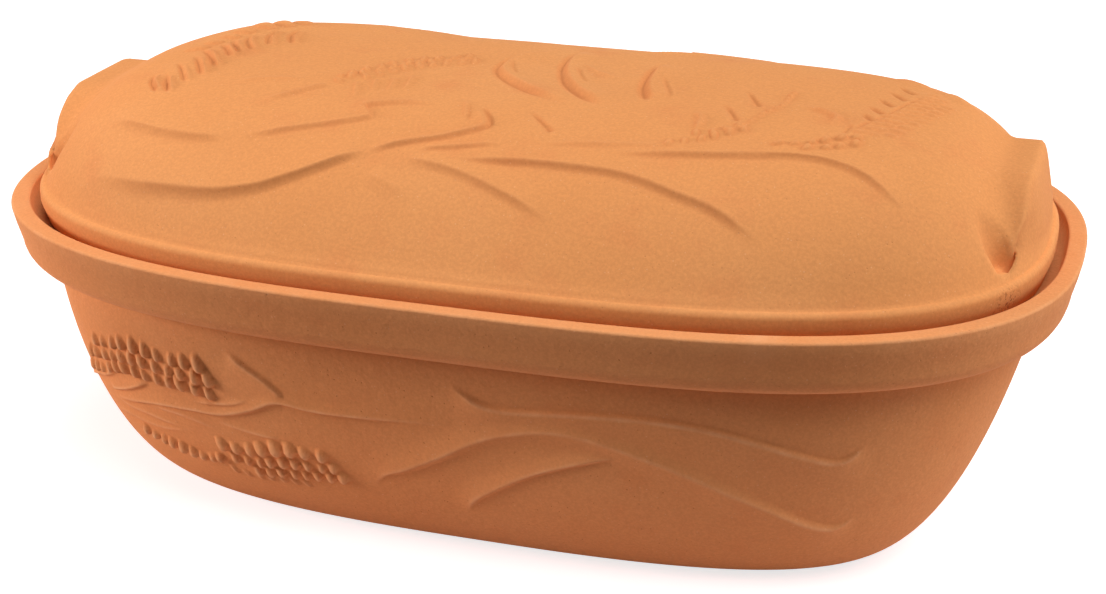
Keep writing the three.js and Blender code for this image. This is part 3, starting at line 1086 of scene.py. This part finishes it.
@dataclass
class Lid(ClayPiece):
    """The domed lid: flange, shoulder, dome, and a grip with two finger pockets at each end."""

    wall: float = 7.0
    shoulder: float = 5.3
    shoulder_land: float = 3.0
    shoulder_round: float = 2.4
    shoulder_fillet: float = 4.0
    rise: float = 42.1
    end_fullness: float = 10.0
    side_fullness: float = 3.3
    grip_height: float = 27.2
    grip_setback: float = 7.5
    grip_width: float = 54.0
    grip_bow: float = 500.0
    grip_side_slope: float = 1.05
    grip_side_round: float = 12.0
    grip_end_slope: float = 5.0
    grip_end_round: float = 7.5
    grip_fillet: Span = (4.0, 7.0)
    grip_fillet_reach: Span = (24.0, 44.0)
    pocket_setback: float = 15.0
    pocket_spacing: float = 98.0
    pocket_radius: float = 3.2
    pocket_slope: float = 3.0
    pocket_ridge: float = 2.4
    pocket_round: float = 2.4
    grid_along: int = 176
    grid_across: int = 104
    grid_crowding: float = 0.2
    coarse_segments: int = 176
    crowding: float = 0.25
    shoulder_steps: int = 6
    hollow_rings: int = 18
    hollow_crowding: float = 2.4
    show_gap: float = 1.5
    show_share: float = 0.9995

    @property
    def shoulder_level(self) -> float:
        """Height of the shoulder line."""
        return RIM.height + self.shoulder

    @property
    def dome_half(self) -> tuple[float, float]:
        """Half length and half width of the dome's foot."""
        inset = RIM.flange_inset + self.shoulder_land
        return RIM.length / 2 - inset, RIM.width / 2 - inset

    def dome_level(self, x: np.ndarray, y: np.ndarray) -> np.ndarray:
        """Finds the plain dome's height over points of the plan.

        Args:
            x: Places along the length, in millimetres.
            y: Places across the width, in millimetres.

        Returns:
            The heights.
        """
        length, width = self.dome_half
        low = np.full(x.shape, LEAST_DROP)
        high = np.ones(x.shape)
        for _ in range(DOME_HALVINGS):
            drop = (low + high) / 2
            oval = CROWN_OVAL.towards(RIM_OVAL, drop)
            along = np.abs(x) / (length * drop ** (1 / self.end_fullness))
            across = np.abs(y) / (width * drop ** (1 / self.side_fullness))
            inside = along**oval.end + across**oval.side < 1.0
            high = np.where(inside, drop, high)
            low = np.where(inside, low, drop)
        return self.shoulder_level + self.rise * (1.0 - (low + high) / 2)

    def grip_level(self, x: np.ndarray, y: np.ndarray) -> np.ndarray:
        """Gives the height of the two grips' upper surface over points of the plan."""
        lip = RIM.length / 2 - RIM.flange_inset - self.grip_setback - y**2 / (2 * self.grip_bow)
        beyond_lip = (np.abs(x) - lip) * self.grip_end_slope
        beyond_side = (np.abs(y) - self.grip_width / 2) * self.grip_side_slope
        zero = np.zeros_like(x)
        fall = filleted_max(zero, beyond_lip, self.grip_end_round)
        fall = fall + filleted_max(zero, beyond_side, self.grip_side_round)
        return self.shoulder_level + self.grip_height - fall

    def pocket_level(self, x: np.ndarray, y: np.ndarray) -> np.ndarray:
        """Gives the height of the four finger pockets' surface over points of the plan."""
        middle = RIM.length / 2 - RIM.flange_inset - self.pocket_setback
        reach = np.hypot(np.abs(x) - middle, np.abs(y) - self.pocket_spacing / 2)
        rise = self.pocket_slope * np.maximum(reach - self.pocket_radius, 0.0)
        return self.shoulder_level + self.pocket_ridge + rise

    def top(self, x: np.ndarray, y: np.ndarray) -> np.ndarray:
        """Gives the lid's upper surface over points of the plan, before the relief."""
        shoulder = np.full_like(x, self.shoulder_level)
        dome = filleted_max(self.dome_level(x, y), shoulder, self.shoulder_fillet)
        near, far = self.grip_fillet_reach
        fillet = between(self.grip_fillet, smooth_step((np.abs(y) - near) / (far - near)))
        gripped = filleted_max(dome, self.grip_level(x, y), fillet)
        return filleted_min(gripped, self.pocket_level(x, y), self.pocket_round)

    def hollow_sections(self) -> list[Section]:
        """Makes the sections of the lid's hollow underside, from its mouth to its crown."""
        length, width = self.dome_half
        sections = []
        for step in range(self.hollow_rings, 0, -1):
            drop = (step / self.hollow_rings) ** self.hollow_crowding
            sections.append(
                Section(
                    (length - self.wall) * drop ** (1 / self.end_fullness),
                    (width - self.wall) * drop ** (1 / self.side_fullness),
                    self.shoulder_level + self.rise * (1 - drop) - self.wall,
                    CROWN_OVAL.towards(RIM_OVAL, drop),
                )
            )
        return sections

    def grow(self) -> None:
        """Spreads a grid over the dome, and grows the shoulder, flange and hollow from its border."""
        bmesh.ops.create_grid(self.mesh, x_segments=self.grid_along, y_segments=self.grid_across, size=1.0)
        square = np.array([vert.co[:2] for vert in self.mesh.verts])
        square = square * (1.0 + self.grid_crowding * (1.0 - square**2))
        turn = np.arctan2(square[:, 1], square[:, 0])
        corner = np.maximum(np.abs(np.cos(turn)), np.abs(np.sin(turn)))
        length, width = self.dome_half
        spread = square * (RIM_OVAL.reach(turn) * corner)[:, None] * np.array([length, width])
        level = self.top(spread[:, 0], spread[:, 1])
        border = [edge for edge in self.mesh.edges if edge.is_boundary]
        for vert, (x, y) in zip(self.mesh.verts, square):
            vert.co = (x, y, 0.0)
        skirt = Loft(self.mesh, border)
        for vert, (x, y), z in zip(self.mesh.verts, spread, level):
            vert.co = (x * MM, y * MM, z * MM)
        round_level = self.shoulder_level - self.shoulder_round
        round_inset = RIM.flange_inset + self.shoulder_round
        shoulder = RIM.rounded(round_inset, round_level, self.shoulder_round, (90, 0), self.shoulder_steps)
        flange = [
            RIM.inset(RIM.flange_inset, RIM.height),
            RIM.inset(RIM.lid_foot_inset, RIM.seat_level + RIM.seat_gap),
        ]
        skirt.grow([*shoulder, *flange])
        inside = Loft.circle(self.mesh, self.coarse_segments, self.crowding)
        inside.place(RIM.inset(RIM.lid_foot_inset + self.wall, RIM.seat_level + RIM.seat_gap))
        skirt.join(inside)
        inside.grow(self.hollow_sections()).close(self.shoulder_level + self.rise - self.wall)

    def on_show_side(self, points: np.ndarray) -> np.ndarray:
        """Tells which points lie on the dome's upper surface."""
        length, width = self.dome_half
        turn = np.arctan2(points[:, 1] / width, points[:, 0] / length)
        share = np.hypot(points[:, 0] / length, points[:, 1] / width) / RIM_OVAL.reach(turn)
        above = np.abs(points[:, 2] - self.top(points[:, 0], points[:, 1])) < self.show_gap
        return (share < self.show_share) & above

    def lay_flat(self, points: np.ndarray) -> np.ndarray:
        """Gives the places of points in plan."""
        return points[:, :2]

    def settle(self, points: np.ndarray) -> np.ndarray:
        """Puts points back on the lid's exact upper surface."""
        level = self.top(points[:, 0], points[:, 1])
        return np.stack([points[:, 0], points[:, 1], level], axis=-1)


def half_turned(blades: tuple[Blade, ...]) -> tuple[Blade, ...]:
    """Repeats blades on the far side of the lid by a half turn about its middle."""
    return tuple(replace(blade, points=tuple((-x, -y) for x, y in blade.points)) for blade in blades)


def linear(colour: ScreenRgb) -> Rgba:
    """Turns a colour of 0 to 255 as seen on a screen into the shaders' linear colour, by the sRGB curve."""
    values = [channel / 255 for channel in colour]
    return (*[v / 12.92 if v <= 0.04045 else ((v + 0.055) / 1.055) ** 2.4 for v in values], 1.0)


@dataclass(frozen=True)
class Noise:
    """Scale per metre, detail and roughness of a cloudy pattern."""

    scale: float
    detail: float
    roughness: float


@dataclass(frozen=True)
class Ramp:
    """A range of values and the range that it is stretched to."""

    given: Span
    wanted: Span


NOISE_RANGE: Span = (0.3, 0.7)
CLOUDS = Noise(9.0, 3.0, 0.55)
PALE_CLOUDS = Ramp((0.42, 0.72), (0.0, 0.55))
PATCHES = Noise(46.0, 4.0, 0.6)
RED_PATCHES = Ramp((0.5, 0.78), (0.0, 0.5))
SAND = Noise(900.0, 3.0, 0.7)
DARK_SAND = Ramp((0.35, 0.68), (0.14, 0.0))
SKIN = Noise(260.0, 2.0, 0.6)
SPECK_SCALE = 900.0
SPECK_DOT = Ramp((0.12, 0.3), (1.0, 0.0))
GRIT_CHOICE = Ramp((0.9, 0.97), (0.0, 0.4))
PORE_CHOICE = Ramp((0.93, 0.98), (0.0, 1.0))
PORE_CROWD = 0.4
PORE_SHADE = 0.2
PITTED_SHADE = 0.7
PORE_DEPTH = 3.0
PITS = Noise(850.0, 1.0, 0.4)
OPEN_PITS = Ramp((0.56, 0.64), (0.0, 0.9))
# Pattern that breaks up the pale edges, which are partly abrasion and partly painted highlight.
PALE_EDGE_NOISE = Noise(120.0, 3.0, 0.6)
BROKEN_PALE_EDGES = Ramp(NOISE_RANGE, (0.35, 1.0))
# How strongly the painted shade darkens creases and steep relief.
PAINTED_SHADE_SHARE = 0.45


class Nodes:
    """Builds one node tree with short calls."""

    def __init__(self, tree: bpy.types.NodeTree) -> None:
        """Starts with an empty tree."""
        self.tree = tree
        tree.nodes.clear()

    def add(self, kind: str, inputs: dict[str, object] | None = None, **settings: object) -> bpy.types.Node:
        """Adds a node.

        Args:
            kind: The node's type name.
            inputs: Socket names with a value, or with the socket that feeds them.
            settings: Properties of the node.

        Returns:
            The new node.
        """
        node = self.tree.nodes.new(kind)
        for name, value in settings.items():
            setattr(node, name, value)
        for name, value in (inputs or {}).items():
            self.feed(next(item for item in node.inputs if item.enabled and item.name == name), value)
        return node

    def feed(self, socket: bpy.types.NodeSocket, value: object) -> None:
        """Sets a socket to a value, or links it to the socket that feeds it."""
        if isinstance(value, bpy.types.NodeSocket):
            self.tree.links.new(value, socket)
        else:
            socket.default_value = value

    def mix(self, share: object, first: object, second: object) -> bpy.types.NodeSocket:
        """Mixes a share of the second colour into the first one, and gives the mixed colour's socket."""
        node = self.add("ShaderNodeMix", data_type="RGBA")
        inputs = [item for item in node.inputs if item.enabled]
        for socket, value in zip(inputs, (share, first, second)):
            self.feed(socket, value)
        return next(item for item in node.outputs if item.enabled)

    def math(self, operation: str, first: object, second: object) -> bpy.types.NodeSocket:
        """Works out one value from two, and gives its socket."""
        node = self.add("ShaderNodeMath", operation=operation)
        for socket, value in zip(node.inputs, (first, second)):
            self.feed(socket, value)
        return node.outputs[0]

    def times(self, *values: object) -> bpy.types.NodeSocket:
        """Multiplies values, one after the other."""
        return reduce(lambda first, second: self.math("MULTIPLY", first, second), values)

    def span(self, value: object, ramp: Ramp) -> bpy.types.NodeSocket:
        """Stretches a range of values to another one, eased and held within it."""
        low, high = ramp.wanted
        inputs = {"From Min": ramp.given[0], "From Max": ramp.given[1], "To Min": low, "To Max": high}
        node = self.add("ShaderNodeMapRange", {"Value": value, **inputs}, interpolation_type="SMOOTHSTEP")
        return node.outputs[0]

    def noise(self, vector: object, pattern: Noise) -> bpy.types.NodeSocket:
        """Adds a cloudy pattern and gives its value."""
        inputs = {"Scale": pattern.scale, "Detail": pattern.detail, "Roughness": pattern.roughness}
        return self.add("ShaderNodeTexNoise", {"Vector": vector, **inputs}).outputs[0]

    def attribute(self, name: str) -> bpy.types.NodeSocket:
        """Reads one of the piece's own masks."""
        return self.add("ShaderNodeAttribute", attribute_name=name).outputs["Fac"]


class Effect(Enum):
    """The shader node groups that the clay's finishes share."""

    MOTTLE = "clay_mottle"
    GRAIN = "clay_grain"
    WEAR_AND_PAINTED_LIGHT = "edge_wear_and_painted_light"

    def group(self) -> bpy.types.NodeTree:
        """Gives the group, and builds it at its first use.

        Returns:
            The node group.
        """
        found = bpy.data.node_groups.get(self.value)
        if found:
            return found
        tree = bpy.data.node_groups.new(self.value, "ShaderNodeTree")
        makers = {Effect.MOTTLE: self.mottle, Effect.GRAIN: self.grain, Effect.WEAR_AND_PAINTED_LIGHT: self.wear_and_painted_light}
        makers[self](tree)
        return tree

    @staticmethod
    def sockets(
        tree: bpy.types.NodeTree, ins: dict[str, str], outs: dict[str, str]
    ) -> tuple[Nodes, dict[str, bpy.types.NodeSocket]]:
        """Declares a group's sockets.

        Args:
            tree: The new group.
            ins: Input names with their socket kinds.
            outs: Output names with their socket kinds.

        Returns:
            The group's builder and the sockets that it is given.
        """
        nodes = Nodes(tree)
        for way, names in (("INPUT", ins), ("OUTPUT", outs)):
            for name, kind in names.items():
                tree.interface.new_socket(name, in_out=way, socket_type="NodeSocket" + kind)
        given = nodes.add("NodeGroupInput")
        return nodes, {name: given.outputs[name] for name in ins}

    @staticmethod
    def mottle(tree: bpy.types.NodeTree) -> None:
        """Clouds of paler and redder clay from the kiln."""
        nodes, given = Effect.sockets(
            tree,
            {"Vector": "Vector", "Clay": "Color", "Pale": "Color", "Red": "Color"},
            {"Color": "Color", "Cloud": "Float"},
        )
        pale = nodes.span(nodes.noise(given["Vector"], CLOUDS), PALE_CLOUDS)
        patch = nodes.noise(given["Vector"], PATCHES)
        red = nodes.span(patch, RED_PATCHES)
        colour = nodes.mix(pale, given["Clay"], given["Pale"])
        colour = nodes.mix(red, colour, given["Red"])
        nodes.add("NodeGroupOutput", {"Color": colour, "Cloud": patch})

    @staticmethod
    def grain(tree: bpy.types.NodeTree) -> None:
        """Sandy grain, pale grit and small open pores of unglazed clay."""
        nodes, given = Effect.sockets(
            tree,
            {"Vector": "Vector", "Color": "Color", "Grit": "Color", "Pore": "Color", "Pitted": "Float"},
            {"Color": "Color", "Height": "Float"},
        )
        vector, pitted = given["Vector"], given["Pitted"]
        sand = nodes.span(nodes.noise(vector, SAND), DARK_SAND)
        specks = nodes.add("ShaderNodeTexVoronoi", {"Vector": vector, "Scale": SPECK_SCALE})
        chosen = nodes.add("ShaderNodeSeparateColor", {"Color": specks.outputs["Color"]})
        dot = nodes.span(specks.outputs["Distance"], SPECK_DOT)
        grit = nodes.times(dot, nodes.span(chosen.outputs[0], GRIT_CHOICE))
        often = nodes.math("ADD", chosen.outputs[1], nodes.times(pitted, PORE_CROWD))
        strong = nodes.math("ADD", nodes.times(pitted, PITTED_SHADE), PORE_SHADE)
        pores = nodes.times(dot, nodes.span(often, PORE_CHOICE), strong)
        pits = nodes.span(nodes.noise(vector, PITS), OPEN_PITS)
        pores = nodes.math("MAXIMUM", pores, nodes.times(pits, pitted))
        colour = nodes.mix(sand, given["Color"], given["Pore"])
        colour = nodes.mix(grit, colour, given["Grit"])
        colour = nodes.mix(pores, colour, given["Pore"])
        height = nodes.math("SUBTRACT", nodes.noise(vector, SKIN), nodes.times(pores, PORE_DEPTH))
        nodes.add("NodeGroupOutput", {"Color": colour, "Height": height})

    @staticmethod
    def wear_and_painted_light(tree: bpy.types.NodeTree) -> None:
        """Paler edges, partly abrasion and partly painted highlight, broken up by a pattern; and painted
        shade in the hollows.
        """
        nodes, given = Effect.sockets(
            tree,
            {
                "Vector": "Vector", "Color": "Color", "Worn And Highlit": "Float", "Painted Shade Mask": "Float", "Rub And Highlight": "Float",
                "Rubbed And Highlight": "Color", "Painted Shade Colour": "Color",
            },
            {"Color": "Color"},
        )
        # Pale edges: partly abrasion, partly painted highlight on crests.
        broken = nodes.span(nodes.noise(given["Vector"], PALE_EDGE_NOISE), BROKEN_PALE_EDGES)
        worn_and_highlit = nodes.times(given["Worn And Highlit"], broken, given["Rub And Highlight"])
        colour = nodes.mix(worn_and_highlit, given["Color"], given["Rubbed And Highlight"])
        # Painted shade in hollows and on steep relief.
        colour = nodes.mix(nodes.times(given["Painted Shade Mask"], PAINTED_SHADE_SHARE), colour, given["Painted Shade Colour"])
        nodes.add("NodeGroupOutput", {"Color": colour})


@dataclass(frozen=True)
class FiredClay:
    """Unglazed red clay: its body colour and how it varies.

    Colours are as seen on a screen. The roughness runs from the thinnest to the thickest patch.
    """

    name: str
    clay: ScreenRgb = (230, 151, 92)
    pale: ScreenRgb = (234, 160, 102)
    red: ScreenRgb = (224, 140, 82)
    grit: ScreenRgb = (242, 190, 146)
    pore: ScreenRgb = (150, 76, 40)
    # Pale edge colour, partly abrasion and partly painted highlight.
    rubbed_and_highlight: ScreenRgb = (244, 186, 138)
    # Painted shade colour for creases and steep relief.
    painted_shade_colour: ScreenRgb = (196, 110, 62)
    shift: Place = (0.0, 0.0, 0.0)
    # Strength of the pale edges, partly abrasion and partly painted highlight.
    rub_and_highlight: float = 0.9
    roughness: Span = (0.96, 0.86)
    specular: float = 0.25
    bump: float = 0.7
    bump_depth: float = 0.0004

    def material(self) -> bpy.types.Material:
        """Builds the material.

        Returns:
            The finished material.
        """
        material = bpy.data.materials.new(self.name)
        material.use_nodes = True
        nodes = Nodes(material.node_tree)
        place = nodes.add("ShaderNodeTexCoord").outputs["Object"]
        vector = nodes.add("ShaderNodeMapping", {"Vector": place, "Location": self.shift}).outputs[0]
        mottle = self.effect(nodes, Effect.MOTTLE, {
            "Vector": vector, "Clay": linear(self.clay), "Pale": linear(self.pale), "Red": linear(self.red),
        })
        grain = self.effect(nodes, Effect.GRAIN, {
            "Vector": vector, "Color": mottle.outputs["Color"], "Grit": linear(self.grit),
            "Pore": linear(self.pore), "Pitted": nodes.attribute("pitted"),
        })
        wear_and_painted_light = self.effect(nodes, Effect.WEAR_AND_PAINTED_LIGHT, {
            "Vector": vector, "Color": grain.outputs["Color"], "Rub And Highlight": self.rub_and_highlight,
            "Worn And Highlit": nodes.attribute("worn_and_highlit"), "Rubbed And Highlight": linear(self.rubbed_and_highlight),
            "Painted Shade Mask": nodes.attribute("hollow"), "Painted Shade Colour": linear(self.painted_shade_colour),
        })
        rough = nodes.span(mottle.outputs["Cloud"], Ramp(NOISE_RANGE, self.roughness))
        normal = nodes.add("ShaderNodeBump", {
            "Strength": self.bump, "Distance": self.bump_depth, "Height": grain.outputs["Height"],
        }).outputs[0]
        shader = nodes.add("ShaderNodeBsdfPrincipled", {
            "Base Color": wear_and_painted_light.outputs["Color"], "Roughness": rough, "Normal": normal,
            "Specular IOR Level": self.specular,
        })
        nodes.add("ShaderNodeOutputMaterial", {"Surface": shader.outputs[0]})
        return material

    @staticmethod
    def effect(nodes: Nodes, effect: Effect, inputs: dict[str, object]) -> bpy.types.Node:
        """Places a shared group in the material."""
        return nodes.add("ShaderNodeGroup", inputs, node_tree=effect.group())


DISH_CLAY = FiredClay("dish_fired_clay")
LID_CLAY = FiredClay(
    "lid_fired_clay", (231, 155, 92), (236, 164, 102), rub_and_highlight=0.12, bump=0.42, shift=(0.37, 0.21, 0.13)
)


@dataclass(frozen=True)
class SoftLamp:
    """A large square lamp that shines from a place towards a point, in metres."""

    name: str
    place: Place
    size: float
    power: float
    colour: Rgb = WHITE[:3]
    target: Place = (0.0, 0.0, 0.08)

    def hang(self) -> None:
        """Hangs the lamp in the scene."""
        data = bpy.data.lights.new(self.name, "AREA")
        data.shape = "SQUARE"
        data.size = self.size
        data.energy = self.power
        data.color = self.colour
        lamp = bpy.data.objects.new(self.name, data)
        lamp.location = self.place
        lamp.rotation_euler = (Vector(self.target) - Vector(self.place)).to_track_quat("-Z", "Y").to_euler()
        bpy.context.scene.collection.objects.link(lamp)


LAMPS = (
    SoftLamp("left_box", (-1.1, -0.46, 0.37), size=0.4, power=9.2, colour=(1.0, 0.9, 0.87)),
    SoftLamp("right_box", (1.2, 0.2, 0.4), size=0.6, power=3.2),
)


@dataclass(frozen=True)
class Studio:
    """The pale floor, the soft light and the camera."""

    floor_size: float = 12.0
    floor_front: float = 0.21
    floor_colour: Rgb = (0.69, 0.585, 0.58)
    floor_glow: float = 0.75
    sky: float = 4.3
    sky_edge: Span = (0.8, 0.96)
    sky_way: Place = (0.35, -0.11, 0.9303)
    camera_place: Place = (0.2194, -0.6824, 0.36)
    camera_way: Place = (-0.277, 0.8839, -0.3768)
    camera_sight: Span = (0.01, 100.0)
    lens: float = 66.05
    sensor: float = 36.0

    def set_up(self) -> None:
        """Lays the floor, hangs the lamps and stands the camera."""
        bpy.context.scene.view_settings.view_transform = "Standard"
        self.lay_floor()
        self.light_world()
        for lamp in LAMPS:
            lamp.hang()
        self.stand_camera()

    def lay_floor(self) -> None:
        """Lays the floor, which looks white and keeps a soft shadow."""
        mesh = bmesh.new()
        half = self.floor_size / 2
        bmesh.ops.create_grid(mesh, x_segments=1, y_segments=1, size=half)
        bmesh.ops.translate(mesh, verts=mesh.verts, vec=(0.0, half - self.floor_front, 0.0))
        data = bpy.data.meshes.new("floor")
        mesh.to_mesh(data)
        mesh.free()
        floor = bpy.data.objects.new("floor", data)
        bpy.context.scene.collection.objects.link(floor)
        material = bpy.data.materials.new("pale_floor")
        material.use_nodes = True
        nodes = Nodes(material.node_tree)
        paint = nodes.add("ShaderNodeBsdfDiffuse", {"Color": (*self.floor_colour, 1.0)})
        strength = nodes.times(self.seen_by_camera(nodes), self.floor_glow)
        glow = nodes.add("ShaderNodeEmission", {"Color": WHITE, "Strength": strength})
        both = nodes.add("ShaderNodeAddShader")
        for socket, shader in zip(both.inputs, (paint, glow)):
            nodes.feed(socket, shader.outputs[0])
        nodes.add("ShaderNodeOutputMaterial", {"Surface": both.outputs[0]})
        data.materials.append(material)

    @staticmethod
    def seen_by_camera(nodes: Nodes) -> bpy.types.NodeSocket:
        """Gives 1 for rays that show the background, and 0 for rays that light the object."""
        path = nodes.add("ShaderNodeLightPath")
        mirrored = nodes.math("MAXIMUM", path.outputs["Is Glossy Ray"], path.outputs["Is Transmission Ray"])
        return nodes.math("MAXIMUM", path.outputs["Is Camera Ray"], mirrored)

    def light_world(self) -> None:
        """Sets the broad light from above, and the white that the camera sees."""
        world = bpy.data.worlds.new("studio")
        world.use_nodes = True
        nodes = Nodes(world.node_tree)
        towards = nodes.add("ShaderNodeVectorMath", operation="DOT_PRODUCT")
        nodes.feed(towards.inputs[0], nodes.add("ShaderNodeTexCoord").outputs["Generated"])
        nodes.feed(towards.inputs[1], self.sky_way)
        above = nodes.span(towards.outputs["Value"], Ramp(self.sky_edge, (0.0, self.sky)))
        strength = nodes.math("MAXIMUM", above, self.seen_by_camera(nodes))
        light = nodes.add("ShaderNodeBackground", {"Color": WHITE, "Strength": strength})
        nodes.add("ShaderNodeOutputWorld", {"Surface": light.outputs[0]})
        bpy.context.scene.world = world

    def stand_camera(self) -> None:
        """Stands the camera where the photograph was taken from."""
        data = bpy.data.cameras.new("camera")
        data.lens = self.lens
        data.sensor_width = self.sensor
        data.clip_start, data.clip_end = self.camera_sight
        camera = bpy.data.objects.new("camera", data)
        camera.location = self.camera_place
        camera.rotation_euler = Vector(self.camera_way).to_track_quat("-Z", "Y").to_euler()
        bpy.context.scene.collection.objects.link(camera)
        bpy.context.scene.camera = camera


def main() -> None:
    """Builds the pieces in order, and then the studio."""
    logging.basicConfig(level=logging.INFO, format="%(name)s: %(message)s")
    lid_blades = LID_LEAVES + LID_STEMS + LID_CREASES + LID_AWNS + LID_SWELLS + LID_GROOVES
    lid_relief = Relief(lid_blades + half_turned(LID_LEAVES), LID_EARS)
    dish_relief = Relief(DISH_LEAVES, DISH_EARS)
    Dish(
        "dish_clay", "dish", "baking_dish", dish_relief, calm_above=DISH_CALM_ABOVE, chip=DISH_CHIP
    ).build(DISH_CLAY)
    Lid(
        "lid_clay", "lid", "lid", lid_relief, LID_PITS, LID_PIT_REACH, steep_painted_shade=LID_STEEP_PAINTED_SHADE
    ).build(LID_CLAY)
    Studio().set_up()


if __name__ == "__main__":
    main()
